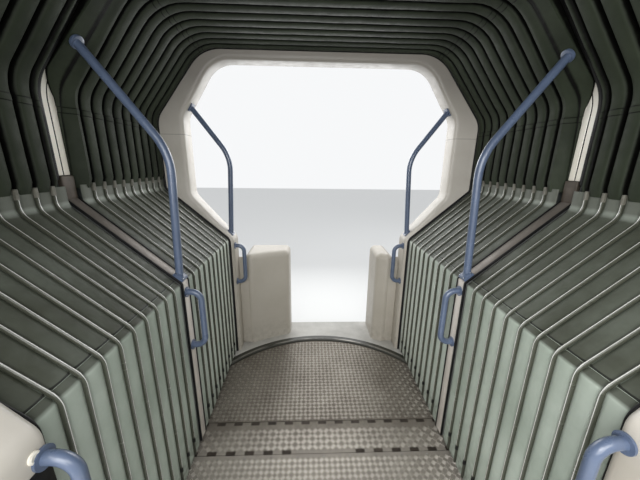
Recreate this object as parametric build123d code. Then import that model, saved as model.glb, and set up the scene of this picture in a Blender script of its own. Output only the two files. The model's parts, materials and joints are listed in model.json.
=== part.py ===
from build123d import *
import math
import os

# The gangway joint between the two sections of an articulated bus: folding bellows on
# hoops, a middle frame, end portals, a walk-over turntable floor, grab rails, and the
# slewing ring with its dampers below. Millimetres, +Z up, +Y from the front section to
# the rear one. It is drawn around the slewing axis with the floor at height 0, and then
# moved so that the origin is the centre of the front mounting flange.

# Passage seen along the bus, right half: half widths, and heights above the floor
AISLE_HALF = 670.0
LEDGE_Z = 960.0
WALL_HALF = 1085.0
SHOULDER_Z = 1327.0
BROW_Z = 1785.0
ROOF_HALF = 760.0
ROOF_Z = 2200.0
LEDGE_ROUND = 60.0
BROW_ROUND = 150.0
ROOF_ROUND = 250.0
SKIRT_Z = -150.0

# Bellows
WAVE_COUNT = 10
WAVE_PITCH = 73.5
WAVE_HEIGHT = 150.0
WAVE_TOP = 20.0
WAVE_FOOT = 36.0
LINER_DEPTH = 3.0
INNER_WAVE_DEPTH = 26.0
INNER_WAVE_EDGE = 12.0
INNER_FACE = 2.0
HOOP_WIDTH = 8.0
HOOP_DEPTH = 40.0
HOOP_SETBACK = 12.0
TAB_RISE = 65.0
TAB_ROUND = 60.0
INNER_HOOP_DEPTH = 14.0
HOOP_FLOOR_GAP = 26.0
SEAT_GAP = 0.3

# Middle frame
MIDDLE_WIDTH = 70.0
MIDDLE_SETBACK = 45.0
MIDDLE_DEPTH = 60.0
MIDDLE_FOOT_Z = -80.0
MIDDLE_LEDGE_ROUND = 12.0
INNER_FRAME_DEPTH = 45.0
COVER_THICK = 8.0
STRIP_THICK = 6.0
STRIP_FOOT_Z = 1447.0
STRIP_TOP_Z = 1728.0
EDGE_WIDTH = 6.0
EDGE_PROUD = 4.0
BEAM_TOP_Z = -25.0
BEAM_DEPTH = 50.0
HUB_WALL = 50.0

# End frames and portals
END_DEPTH = 60.0
END_LIP = 158.0
END_LIP_WALL = 7.0
END_WEB = 8.0
END_BAND = 25.0
END_BEAM_DEPTH = 53.0
LINING_WALL = 7.0
LINING_REACH = 70.0
LINING_STEP_AISLE = 30.0
LINING_STEP_WALL = 165.0
LINING_STEP_SHOULDER = 43.0
LINING_STEP_BROW = 15.0
LINING_STEP_ROOF = 60.0
LINING_SHOULDER_ROUND = 90.0
LINING_BROW_ROUND = 130.0
LINING_ROOF_ROUND = 200.0
PANEL_SEAM_DROP = 100.0
PANEL_SEAM_SHARE = 0.8

# Floor
PLATE = 5.0
PLATE_HALF = 760.0
LINK_HALF = 100.0
SEAM = 4.0
NOTCH_WIDTH = 50.0
NOTCH_DEPTH = 20.0
NOTCH_PITCH = 100.0
NOTCH_END_GAP = 60.0
PLAIN_HALF = 140.0
KNUCKLE_DROP = 0.5
DISC_PAST = 130.0
DISC_GAP = 5.0
SILL_WIDTH = 40.0
SILL_TOP = 14.0
REAR_FLOOR_TOP = 10.0
REAR_FLOOR_THICK = 20.0
REAR_FLOOR_END = 1190.0
JOIST_WIDTH = 40.0
JOIST_DEPTH = 45.0
JOIST_PLACES = (-560.0, -190.0, 190.0, 560.0)
RIB = 15.0
RIB_WIDTH = 60.0
RIM_SETBACK = 50.0
RIM_WIDTH = 50.0

# Turntable under the floor
POST_RADIUS = 90.0
POST_WALL = 25.0
RING_TOP_Z = -85.0
RING_BOTTOM_Z = -150.0
RACE_RADIUS = 320.0
RACE_GAP = 0.5
RACE_WALL = 75.0
RACE_LIFT = 5.0
TABLE_THICK = 20.0
TABLE_RADIUS = 400.0
TABLE_HALF = 390.0
RAIL_WIDTH = 70.0
RAIL_DEPTH = 60.0
RAIL_END_Y = -100.0
CARRIER_WALL = 30.0
LUG_HALF = 230.0
LUG_THICK = 14.0
LUG_FRONT_Y = -60.0
ARM_HALF = 330.0
ARM_WIDTH = 80.0
FLANGE_HALF = 550.0
FLANGE_THICK = 18.0
FLANGE_TOP_Z = -80.0
FLANGE_BOTTOM_Z = -250.0
FLANGE_HOLE = 18.0
FLANGE_HOLE_PITCH = 150.0
FLANGE_HOLE_RISE = 110.0
FLANGE_HOLE_COLUMNS = 7

# Dampers
DAMPER_Z = -210.0
DAMPER_PIN_X = 250.0
DAMPER_PIN_Y = -620.0
EYE_RADIUS_FROM_AXIS = 150.0
EYE_RADIUS = 30.0
EYE_HEIGHT = 40.0
BARREL_RADIUS = 33.0
BARREL_LENGTH = 330.0
BARREL_BORE = 16.0
ROD_RADIUS = 14.0
ROD_INSERT = 180.0
PIN_RADIUS = 14.0
PIN_CLEAR = 0.3
EYE_CLEAR = 5.0

# Grab rails
POLE_RADIUS = 17.5
POLE_BEND_Z = 1545.0
POLE_LEAN = 37.0
POLE_BEND_ROUND = 260.0
POLE_PLATE = 10.0
POLE_PLATE_HALF = 27.0
POLE_PLATE_WIDTH = 54.0
REAR_POLE_BACK = 60.0
HANDLE_RADIUS = 15.0
HANDLE_TOP_Z = 905.0
HANDLE_BOTTOM_Z = 615.0
HANDLE_REACH = 66.0
END_HANDLE_BACK = 24.0
HANDLE_ROUND = 45.0
HANDLE_ROSE = 25.0
ROSE_THICK = 6.0

# Side boxes on the rear floor
BOX_TOP_Z = 800.0
BOX_WALL = 6.0
BOX_BACK_Y = 1170.0
BOX_SET_BACK = 125.0
BOX_SIDE_GAP = 70.0
BOX_ROUND = 45.0
LEFT_BOX_WIDTH = 350.0
RIGHT_BOX_WIDTH = 130.0

# Places that follow from the sizes above
MIDDLE_HALF = MIDDLE_WIDTH / 2
BELLOWS_END = MIDDLE_HALF + WAVE_COUNT * WAVE_PITCH
FLANGE_Y = BELLOWS_END + END_DEPTH
FLANGE_Z = (FLANGE_TOP_Z + FLANGE_BOTTOM_Z) / 2
LINING_AISLE = AISLE_HALF - LINING_STEP_AISLE
DISC_RADIUS = BELLOWS_END + DISC_PAST
SILL_RADIUS = DISC_RADIUS + DISC_GAP
RIM_RADIUS = DISC_RADIUS - RIM_SETBACK
BOX_OUTER = AISLE_HALF - BOX_SIDE_GAP
TABLE_TOP_Z = RING_BOTTOM_Z
TABLE_BOTTOM_Z = TABLE_TOP_Z - TABLE_THICK
CARRIER_RADIUS = RACE_RADIUS + RACE_GAP + RACE_WALL


def unit(start, end):
    """Direction from one corner to the next, as a pair."""
    across = end[0] - start[0]
    up = end[1] - start[1]
    length = math.hypot(across, up)
    return across / length, up / length


def moved_out(corners, out):
    """The same corners (across, up, round), moved out square to the outline."""
    result = []
    for i, (across, up, rounding) in enumerate(corners):
        before = unit(corners[max(i - 1, 0)], corners[max(i, 1)])
        last = len(corners) - 1
        after = unit(corners[min(i, last - 1)], corners[min(i + 1, last)])
        side = 1 + before[0] * after[0] + before[1] * after[1]
        across += out * (before[1] + after[1]) / side
        up -= out * (before[0] + after[0]) / side
        turns_in = before[0] * after[1] - before[1] * after[0] > 0
        if rounding > 0:
            rounding += out if turns_in else -out
        result.append((across, up, rounding))
    return result


def outline_edges(corners, y):
    """Lines and tangent arcs through the corners, in the plane at y."""
    edges = []
    start = corners[0][:2]
    for i in range(1, len(corners) - 1):
        across, up, rounding = corners[i]
        before = unit(corners[i - 1], corners[i])
        after = unit(corners[i], corners[i + 1])
        if rounding <= 0:
            edges.append(Line((start[0], y, start[1]), (across, y, up)))
            start = (across, up)
            continue
        turn = math.acos(before[0] * after[0] + before[1] * after[1])
        reach = rounding * math.tan(turn / 2)
        first = (across - before[0] * reach, up - before[1] * reach)
        second = (across + after[0] * reach, up + after[1] * reach)
        inward = unit((across, up), ((first[0] + second[0]) / 2, (first[1] + second[1]) / 2))
        bulge = rounding / math.cos(turn / 2) - rounding
        middle = (across + inward[0] * bulge, up + inward[1] * bulge)
        edges.append(Line((start[0], y, start[1]), (first[0], y, first[1])))
        edges.append(ThreePointArc(
            (first[0], y, first[1]), (middle[0], y, middle[1]), (second[0], y, second[1])))
        start = second
    end = corners[-1]
    edges.append(Line((start[0], y, start[1]), (end[0], y, end[1])))
    return edges


def closed_wire(corners, y):
    """The outline closed by a straight line between its two feet."""
    start = corners[0]
    end = corners[-1]
    closing = Line((end[0], y, end[1]), (start[0], y, start[1]))
    return Wire(outline_edges(corners, y) + [closing])


def both_sides(half):
    """A right half from its foot up, followed by its mirror image."""
    return half + [(-across, up, rounding) for across, up, rounding in reversed(half)]


def arch(out, foot):
    """Outline of the outer hoops: straight legs down to the foot."""
    half = [
        (WALL_HALF, foot, 0),
        (WALL_HALF, BROW_Z, BROW_ROUND),
        (ROOF_HALF, ROOF_Z, ROOF_ROUND)]
    return moved_out(both_sides(half), out)


def passage(out, foot):
    """Outline of the passage: narrow below, wide above the ledge."""
    half = [
        (AISLE_HALF, foot, 0),
        (AISLE_HALF, LEDGE_Z, LEDGE_ROUND),
        (WALL_HALF, SHOULDER_Z, 0),
        (WALL_HALF, BROW_Z, BROW_ROUND),
        (ROOF_HALF, ROOF_Z, ROOF_ROUND)]
    return moved_out(both_sides(half), out)


def lining_outline(out, foot):
    """Inner outline of the portal linings, smaller than the passage."""
    wall = WALL_HALF - LINING_STEP_WALL
    half = [
        (LINING_AISLE, foot, 0),
        (LINING_AISLE, LEDGE_Z, LEDGE_ROUND),
        (wall, SHOULDER_Z - LINING_STEP_SHOULDER, LINING_SHOULDER_ROUND),
        (wall, BROW_Z + LINING_STEP_BROW, LINING_BROW_ROUND),
        (ROOF_HALF - LINING_STEP_ROOF, ROOF_Z - LINING_STEP_ROOF, LINING_ROOF_ROUND)]
    return moved_out(both_sides(half), out)


SLOPE = unit((AISLE_HALF, LEDGE_Z), (WALL_HALF, SHOULDER_Z))


def ledge(out, foot, past_shoulder, rounding=LEDGE_ROUND):
    """Lower inner wall on the right: up from the foot, then out along the slope."""
    top = (WALL_HALF + SLOPE[0] * past_shoulder, SHOULDER_Z + SLOPE[1] * past_shoulder, 0)
    path = [(AISLE_HALF, foot, 0), (AISLE_HALF, LEDGE_Z, rounding), top]
    return moved_out(path, out)


def middle_ledge(out, past_shoulder):
    """The same wall at the middle frame, where the ledge has a sharper corner."""
    return ledge(out, HOOP_FLOOR_GAP, past_shoulder, MIDDLE_LEDGE_ROUND)


def ridge(out, foot):
    """Inner edge of a hoop's lower branch: like the ledge, then up again as a tab."""
    path = [
        (AISLE_HALF, foot, 0),
        (AISLE_HALF, LEDGE_Z, LEDGE_ROUND),
        (WALL_HALF, SHOULDER_Z, TAB_ROUND),
        (WALL_HALF, SHOULDER_Z + TAB_RISE, 0)]
    return moved_out(path, out)


def strip_wire(path_in, path_out, y):
    """Closed wire around the strip between two parallel open outlines."""
    inner = outline_edges(path_in, y)
    outer = outline_edges(list(reversed(path_out)), y)
    top = Line((path_in[-1][0], y, path_in[-1][1]), (path_out[-1][0], y, path_out[-1][1]))
    foot = Line((path_out[0][0], y, path_out[0][1]), (path_in[0][0], y, path_in[0][1]))
    return Wire(inner + [top] + outer + [foot])


def along(face, depth):
    """A flat face at its own y, given depth towards +Y."""
    return Solid.extrude(face, Vector(0, depth, 0))


def strip(path_in, path_out, y, depth):
    return along(Face(strip_wire(path_in, path_out, y)), depth)


def block(x0, x1, y0, y1, z0, z1):
    corner = Pos((x0 + x1) / 2, (y0 + y1) / 2, (z0 + z1) / 2)
    return corner * Box(x1 - x0, y1 - y0, z1 - z0)


def drum(radius, z0, z1, x=0.0, y=0.0):
    return Pos(x, y, (z0 + z1) / 2) * Cylinder(radius, z1 - z0)


def tube(outer, inner, z0, z1):
    return drum(outer, z0, z1) - drum(inner, z0 - 1, z1 + 1)


def rod_between(start, end, radius):
    """Round bar from one point to another."""
    a = Vector(*start)
    b = Vector(*end)
    plane = Plane(origin=a, z_dir=(b - a).normalized())
    return extrude(plane * Circle(radius), (b - a).length)


def bent_bar(points, radius, rounding, y):
    """Round bar in the plane at y, along straight runs joined by arcs."""
    corners = [(across, up, 0 if i in (0, len(points) - 1) else rounding)
               for i, (across, up) in enumerate(points)]
    path = Wire(outline_edges(corners, y))
    direction = unit(points[0], points[1])
    plane = Plane(origin=(points[0][0], y, points[0][1]), z_dir=(direction[0], 0, direction[1]))
    return sweep(plane * Circle(radius), path=path)


def mirrored(solid):
    return mirror(solid, about=Plane.YZ)


def pair(solid):
    """A piece on the right and its mirror image on the left."""
    return [solid, mirrored(solid)]


# Hoop places along each half, counted from the middle frame outwards
HOOP_PLACES = [MIDDLE_HALF + WAVE_PITCH * k for k in range(1, WAVE_COUNT)]
WAVE_PLACES = [MIDDLE_HALF + WAVE_PITCH * k for k in range(WAVE_COUNT + 1)]


def hoop(y):
    """One hoop: the outer arch, and the lower inner branch on each side."""
    start = y - HOOP_WIDTH / 2
    outer = along(Face(closed_wire(arch(HOOP_DEPTH, SKIRT_Z), start)), HOOP_WIDTH)
    inner = along(Face(closed_wire(arch(HOOP_SETBACK, SKIRT_Z - 1), start - 1)), HOOP_WIDTH + 2)
    branch = strip(
        ridge(0, HOOP_FLOOR_GAP), ridge(INNER_HOOP_DEPTH, HOOP_FLOOR_GAP), start, HOOP_WIDTH)
    return (outer - inner) + branch + mirrored(branch)


def wave_span(k):
    """Start and end of a wave of fabric, clear of the hoops on both sides."""
    first = WAVE_PLACES[k] + (SEAT_GAP if k == 0 else HOOP_WIDTH / 2 + SEAT_GAP)
    last_wave = k == WAVE_COUNT - 1
    second = WAVE_PLACES[k + 1] - (SEAT_GAP if last_wave else HOOP_WIDTH / 2 + SEAT_GAP)
    return first, second


def outer_wave(start, end):
    """One fold of the outer bellows, standing out between two hoops."""
    middle = (start + end) / 2
    sections = [  # place along the bus, height out of the hoop line
        (start, WAVE_FOOT),
        (middle - WAVE_TOP / 2, WAVE_HEIGHT),
        (middle + WAVE_TOP / 2, WAVE_HEIGHT),
        (end, WAVE_FOOT)]
    fold = Solid.make_loft([closed_wire(arch(out, SKIRT_Z), y) for y, out in sections], True)
    hollow = along(Face(closed_wire(arch(LINER_DEPTH, SKIRT_Z - 1), start - 1)), end - start + 2)
    return fold - hollow


def inner_wave(start, end):
    """One fold of the lower inner bellows, on the right."""
    sections = [  # place along the bus, depth behind the hoop line
        (start, INNER_WAVE_EDGE),
        ((start + end) / 2, INNER_WAVE_DEPTH),
        (end, INNER_WAVE_EDGE)]
    back = -INNER_WAVE_DEPTH
    wires = []
    for y, out in sections:
        face_in = ledge(INNER_FACE, HOOP_FLOOR_GAP, back)
        face_out = ledge(out, HOOP_FLOOR_GAP, back)
        wires.append(strip_wire(face_in, face_out, y))
    return Solid.make_loft(wires, True)


def bellows_half(fold):
    """All folds of one half, from the middle frame towards +Y."""
    return [fold(*wave_span(k)) for k in range(WAVE_COUNT)]


def to_front(solids):
    """Solids that are alike left and right, turned round to the front side."""
    return [solid.rotate(Axis.Z, 180) for solid in solids]


def middle_frame():
    """Arch with its inner branches, in one piece."""
    y = -MIDDLE_HALF
    outline = arch(MIDDLE_SETBACK + MIDDLE_DEPTH, MIDDLE_FOOT_Z)
    outer = along(Face(closed_wire(outline, y)), MIDDLE_WIDTH)
    inner = along(Face(closed_wire(arch(MIDDLE_SETBACK, MIDDLE_FOOT_Z - 1), y - 1)), MIDDLE_WIDTH + 2)
    past = MIDDLE_SETBACK / SLOPE[0] + MIDDLE_DEPTH / 2
    branch = strip(
        middle_ledge(COVER_THICK, past), middle_ledge(INNER_FRAME_DEPTH, past), y, MIDDLE_WIDTH)
    return (outer - inner) + branch + mirrored(branch)


COVER_END = MIDDLE_SETBACK / SLOPE[0] - COVER_THICK


def middle_cover():
    """Cover strip over the inner face of the ledge branch, on the right."""
    return strip(
        middle_ledge(0, COVER_END), middle_ledge(COVER_THICK, COVER_END),
        -MIDDLE_HALF + EDGE_WIDTH, MIDDLE_WIDTH - 2 * EDGE_WIDTH)


def middle_edges():
    """Rubber edges on both sides of the cover strip, on the right."""
    edges = []
    for y in (-MIDDLE_HALF, MIDDLE_HALF - EDGE_WIDTH):
        edges.append(strip(
            middle_ledge(-EDGE_PROUD, COVER_END), middle_ledge(COVER_THICK, COVER_END),
            y, EDGE_WIDTH))
    return edges


def wall_strip():
    """Pale trim strip on the upper wall of the middle frame, on the right."""
    face = WALL_HALF + MIDDLE_SETBACK
    return block(
        face - STRIP_THICK, face, -MIDDLE_HALF + EDGE_WIDTH, MIDDLE_HALF - EDGE_WIDTH,
        STRIP_FOOT_Z, STRIP_TOP_Z)


def crossbeam():
    """Beam under the floor that carries the middle frame on the centre post."""
    bottom = BEAM_TOP_Z - BEAM_DEPTH
    half = WALL_HALF + MIDDLE_SETBACK
    beam = block(-half, half, -MIDDLE_HALF, MIDDLE_HALF, bottom, BEAM_TOP_Z)
    hub = drum(POST_RADIUS + HUB_WALL, bottom, BEAM_TOP_Z)
    bore = drum(POST_RADIUS + PIN_CLEAR, bottom - 1, BEAM_TOP_Z + 1)
    return beam + hub - bore


def end_frame(threshold):
    """End frame of the bellows at the rear: web, bands, lip and threshold beam."""
    y = BELLOWS_END
    depth = END_DEPTH
    opening = along(Face(closed_wire(passage(0, threshold), y - 1)), depth + 2)
    web_y = y + depth - END_WEB
    web = along(Face(closed_wire(arch(END_LIP, SKIRT_Z), web_y)), END_WEB) - opening
    below = block(
        -AISLE_HALF - END_BAND, AISLE_HALF + END_BAND, y - 1, y + depth + 1,
        SKIRT_Z - 1, threshold - END_BEAM_DEPTH)
    band = along(Face(closed_wire(arch(END_BAND, SKIRT_Z), y)), depth)
    band = band - along(Face(closed_wire(arch(0, SKIRT_Z - 1), y - 1)), depth + 2)
    lip = along(Face(closed_wire(arch(END_LIP, SKIRT_Z), y)), depth)
    lip = lip - along(Face(closed_wire(arch(END_LIP - END_LIP_WALL, SKIRT_Z - 1), y - 1)), depth + 2)
    beam = block(
        -WALL_HALF, WALL_HALF, y, y + depth, threshold - END_BEAM_DEPTH, threshold)
    branch = strip(
        ledge(0, threshold, END_BAND / 2), ledge(END_BAND, threshold, END_BAND / 2), y, depth)
    frame = web - below + band + lip + beam + branch + mirrored(branch)
    return frame


def portal_lining(floor_top):
    """Moulded surround inside the end frame, at the rear, in five panels."""
    y = BELLOWS_END
    depth = END_DEPTH + LINING_REACH
    opening = along(Face(closed_wire(lining_outline(0, floor_top - 1), y - 1)), depth + 2)
    face = along(Face(closed_wire(passage(-SEAT_GAP, floor_top), y)), LINING_WALL)
    rim = along(Face(closed_wire(passage(-SEAT_GAP, floor_top), y)), END_DEPTH)
    rim -= along(
        Face(closed_wire(passage(-SEAT_GAP - LINING_WALL, floor_top - 1), y - 1)), depth + 2)
    lip = along(Face(closed_wire(lining_outline(LINING_WALL, floor_top), y)), depth)
    lining = face + rim + lip - opening
    gap = SEAT_GAP / 2
    seam_z = BROW_Z - PANEL_SEAM_DROP
    seam_x = ROOF_HALF * PANEL_SEAM_SHARE
    spans = [  # across, and up: two legs, two corners and the roof
        (0, WALL_HALF + 1, 0, seam_z), (-WALL_HALF - 1, 0, 0, seam_z),
        (seam_x, WALL_HALF + 1, seam_z, ROOF_Z + 1), (-WALL_HALF - 1, -seam_x, seam_z, ROOF_Z + 1),
        (-seam_x, seam_x, seam_z, ROOF_Z + 1)]
    return [
        lining & block(x0 + gap, x1 - gap, y - 1, y + depth + 1, z0 + gap if z0 else SKIRT_Z, z1 - gap)
        for x0, x1, z0, z1 in spans]


def wall_behind(point, way):
    """Everything behind a flat wall, as a thick plate, in the plane across the bus."""
    ends = []
    for reach in (-POLE_BEND_Z, POLE_BEND_Z):
        ends.append((point[0] + way[0] * reach, point[1] + way[1] * reach, 0))
    return moved_out(ends, -SEAT_GAP), moved_out(ends, POLE_BEND_Z)


def wall_plate(point, way, y):
    """Flat mounting plate on a wall, centred on a point of it."""
    ends = []
    for reach in (-POLE_PLATE_HALF, POLE_PLATE_HALF):
        ends.append((point[0] + way[0] * reach, point[1] + way[1] * reach, 0))
    return strip(
        moved_out(ends, -POLE_PLATE), moved_out(ends, -SEAT_GAP),
        y - POLE_PLATE_WIDTH / 2, POLE_PLATE_WIDTH)


def grab_pole(corners, ledge_round, y):
    """Pole on the right: up from the ledge, then leaning out to the chamfer."""
    ledge_corner, shoulder, brow, roof = [corner[:2] for corner in corners]
    slope = unit(ledge_corner, shoulder)
    chamfer = unit(brow, roof)
    clear = ledge_round * math.tan(math.acos(slope[1]) / 2) + SEAT_GAP
    foot = (
        ledge_corner[0] + slope[0] * (clear + POLE_PLATE_HALF),
        ledge_corner[1] + slope[1] * (clear + POLE_PLATE_HALF))
    lean = math.radians(POLE_LEAN)
    bend = (ledge_corner[0], POLE_BEND_Z)
    rise = (brow[0] - bend[0]) * chamfer[1] - (brow[1] - bend[1]) * chamfer[0]
    reach = rise / (math.sin(lean) * chamfer[1] - math.cos(lean) * chamfer[0])
    head = (bend[0] + math.sin(lean) * reach, bend[1] + math.cos(lean) * reach)
    past = POLE_RADIUS * 2
    points = [
        (foot[0], foot[1] - past), bend,
        (head[0] + math.sin(lean) * past, head[1] + math.cos(lean) * past)]
    bar = bent_bar(points, POLE_RADIUS, POLE_BEND_ROUND, y)
    for point, way in ((foot, slope), (head, chamfer)):
        near, far = wall_behind(point, way)
        bar -= strip(near, far, y - POLE_PLATE_WIDTH, POLE_PLATE_WIDTH * 2)
        bar += wall_plate(point, way, y)
    return bar


def grab_handle(wall, y):
    """D-shaped handle on the right, standing on an upright wall."""
    face = wall - SEAT_GAP
    start = face - ROSE_THICK / 2
    reach = wall - HANDLE_REACH
    points = [
        (start, HANDLE_TOP_Z), (reach, HANDLE_TOP_Z), (reach, HANDLE_BOTTOM_Z), (start, HANDLE_BOTTOM_Z)]
    bar = bent_bar(points, HANDLE_RADIUS, HANDLE_ROUND, y)
    for z in (HANDLE_TOP_Z, HANDLE_BOTTOM_Z):
        bar += rod_between((face, y, z), (face - ROSE_THICK, y, z), HANDLE_ROSE)
    return bar


def front_plate():
    """Fixed floor plate from the front threshold to the first hinge."""
    edge = -LINK_HALF - SEAM / 2
    plate = block(-PLATE_HALF, PLATE_HALF, -BELLOWS_END + SEAT_GAP, edge, -PLATE, 0)
    tongue_half = LINING_AISLE - SEAT_GAP
    tongue = block(-tongue_half, tongue_half, -FLANGE_Y, edge, -PLATE, 0)
    return plate + tongue


def notch_places():
    """Places across and along the bus of the hinge notches; the front seam is plain in its middle."""
    count = int((2 * PLATE_HALF - 2 * NOTCH_END_GAP) / NOTCH_PITCH) + 1
    first = -(count - 1) * NOTCH_PITCH / 2
    edge = LINK_HALF - SEAM / 2
    places = []
    for i in range(count):
        x = first + i * NOTCH_PITCH
        places.append((x, edge - NOTCH_DEPTH, edge))
        if abs(x) > PLAIN_HALF:
            places.append((x, -edge, -edge + NOTCH_DEPTH))
    return places


def link_plate():
    """Narrow plate between the two hinges, notched along both edges."""
    edge = LINK_HALF - SEAM / 2
    plate = block(-PLATE_HALF, PLATE_HALF, -edge, edge, -PLATE, 0)
    notches = []
    for x, start, end in notch_places():
        notches.append(block(
            x - NOTCH_WIDTH / 2, x + NOTCH_WIDTH / 2, start, end, -PLATE - 1, 1))
    return plate - notches


def turning_plate():
    """Half disc that stays with the front section and slides round the sill."""
    edge = LINK_HALF + SEAM / 2
    front = block(-DISC_RADIUS - 1, DISC_RADIUS + 1, -DISC_RADIUS - 1, edge, -PLATE - 1, 1)
    return drum(DISC_RADIUS, -PLATE, 0) - front


def hinge_knuckles():
    """Flat knuckles of the two floor hinges, lying in the notches."""
    half = NOTCH_WIDTH / 2 - SEAT_GAP
    return [
        block(x - half, x + half, start + SEAT_GAP, end - SEAT_GAP, -PLATE, -KNUCKLE_DROP)
        for x, start, end in notch_places()]


def floor_carrier():
    """Ribs under the plates, standing on the centre post."""
    top = -PLATE
    bottom = top - RIB
    carrier = drum(POST_RADIUS + HUB_WALL * 2, bottom, top)
    half = RIB_WIDTH / 2
    front_end = -BELLOWS_END + 2 * SEAT_GAP
    for x in (-PLATE_HALF * 2 / 3, 0, PLATE_HALF * 2 / 3):
        carrier += block(x - half, x + half, front_end, LINK_HALF, bottom, top)
    for y in (-LINK_HALF, LINK_HALF):
        carrier += block(-PLATE_HALF, PLATE_HALF, y - half, y + half, bottom, top)
    carrier += block(-half, half, LINK_HALF, RIM_RADIUS - RIM_WIDTH / 2, bottom, top)
    rim = tube(RIM_RADIUS, RIM_RADIUS - RIM_WIDTH, bottom, top)
    rim -= block(-DISC_RADIUS, DISC_RADIUS, -DISC_RADIUS, LINK_HALF - half, bottom - 1, top + 1)
    return carrier + rim


def rear_floor():
    """Floor of the rear section, cut round the sill and the end frame."""
    bottom = REAR_FLOOR_TOP - REAR_FLOOR_THICK
    floor = block(-PLATE_HALF, PLATE_HALF, 0, REAR_FLOOR_END, bottom, REAR_FLOOR_TOP)
    floor -= drum(SILL_RADIUS + SILL_WIDTH, bottom - 1, REAR_FLOOR_TOP + 1)
    floor -= block(-PLATE_HALF - 1, PLATE_HALF + 1, -1, LINK_HALF, bottom - 1, REAR_FLOOR_TOP + 1)
    for side in (-1, 1):
        x = side * (AISLE_HALF - SEAT_GAP)
        far = side * (PLATE_HALF + 1)
        floor -= block(
            min(x, far), max(x, far), BELLOWS_END - SEAT_GAP, REAR_FLOOR_END + 1,
            bottom - 1, REAR_FLOOR_TOP + 1)
    for x in JOIST_PLACES:
        floor += block(
            x - JOIST_WIDTH / 2, x + JOIST_WIDTH / 2, DISC_RADIUS, REAR_FLOOR_END,
            bottom - JOIST_DEPTH, bottom)
    return floor


def sill():
    """Curved nosing round the edge of the turning plate."""
    bottom = REAR_FLOOR_TOP - REAR_FLOOR_THICK
    ring = tube(SILL_RADIUS + SILL_WIDTH, SILL_RADIUS, bottom, SILL_TOP)
    keep = block(-PLATE_HALF, PLATE_HALF, LINK_HALF, DISC_RADIUS * 2, bottom - 1, SILL_TOP + 1)
    return ring & keep


def box_form(start, end, wall):
    """Outer form of a side box, or its inside where a wall is given, with its edges rounded."""
    front = SILL_RADIUS + BOX_SET_BACK + wall
    foot = REAR_FLOOR_TOP - (1 if wall else 0)
    top = BOX_TOP_Z - wall
    back = BOX_BACK_Y - wall
    form = block(start + wall, end - wall, 0, back, foot, top) - drum(front, -1, BOX_TOP_Z + 1)
    front_edges = form.edges().filter_by(Axis.Z).sort_by(Axis.Y)[:2]
    top_edges = [
        edge for edge in form.edges().group_by(Axis.Z)[-1] if edge.center().Y < back - 1]
    return fillet(front_edges + top_edges, BOX_ROUND - wall)


def side_box(start, end):
    """Moulded box behind the sill, open below, between two places across."""
    return box_form(start, end, 0) - box_form(start, end, BOX_WALL)


def front_joint_frame():
    """Table under the slewing ring, its rails and the front flange."""
    flange_back = -FLANGE_Y
    table = drum(TABLE_RADIUS, TABLE_BOTTOM_Z, TABLE_TOP_Z)
    table += block(
        -TABLE_HALF, TABLE_HALF, flange_back + FLANGE_THICK, 0, TABLE_BOTTOM_Z, TABLE_TOP_Z)
    frame = table + flange(-1)
    for side in (-1, 1):
        inner = side * (TABLE_HALF - RAIL_WIDTH)
        outer = side * TABLE_HALF
        frame += block(
            min(inner, outer), max(inner, outer), flange_back + FLANGE_THICK, RAIL_END_Y,
            TABLE_BOTTOM_Z - RAIL_DEPTH, TABLE_BOTTOM_Z)
    for side in (-1, 1):
        frame += drum(
            PIN_RADIUS, DAMPER_Z - EYE_HEIGHT / 2 - EYE_CLEAR, TABLE_BOTTOM_Z,
            side * DAMPER_PIN_X, DAMPER_PIN_Y)
    return frame


def flange(side):
    """Bolting flange across the bus; side is -1 in front and 1 behind."""
    near = side * (FLANGE_Y - FLANGE_THICK)
    far = side * FLANGE_Y
    plate = block(
        -FLANGE_HALF, FLANGE_HALF, min(near, far), max(near, far), FLANGE_BOTTOM_Z, FLANGE_TOP_Z)
    first = -(FLANGE_HOLE_COLUMNS - 1) / 2
    for column in range(FLANGE_HOLE_COLUMNS):
        for row in (-0.5, 0.5):
            x = (first + column) * FLANGE_HOLE_PITCH
            z = FLANGE_Z + row * FLANGE_HOLE_RISE
            start = (x, min(near, far) - 1, z)
            end = (x, max(near, far) + 1, z)
            plate -= rod_between(start, end, FLANGE_HOLE / 2)
    return plate


def centre_post():
    return tube(POST_RADIUS, POST_RADIUS - POST_WALL, TABLE_TOP_Z, -PLATE - RIB)


def inner_race():
    return tube(RACE_RADIUS, RACE_RADIUS - RACE_WALL, RING_BOTTOM_Z, RING_TOP_Z)


def outer_race():
    return tube(
        RACE_RADIUS + RACE_GAP + RACE_WALL, RACE_RADIUS + RACE_GAP,
        RING_BOTTOM_Z + RACE_LIFT, RING_TOP_Z - RACE_LIFT)


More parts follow.
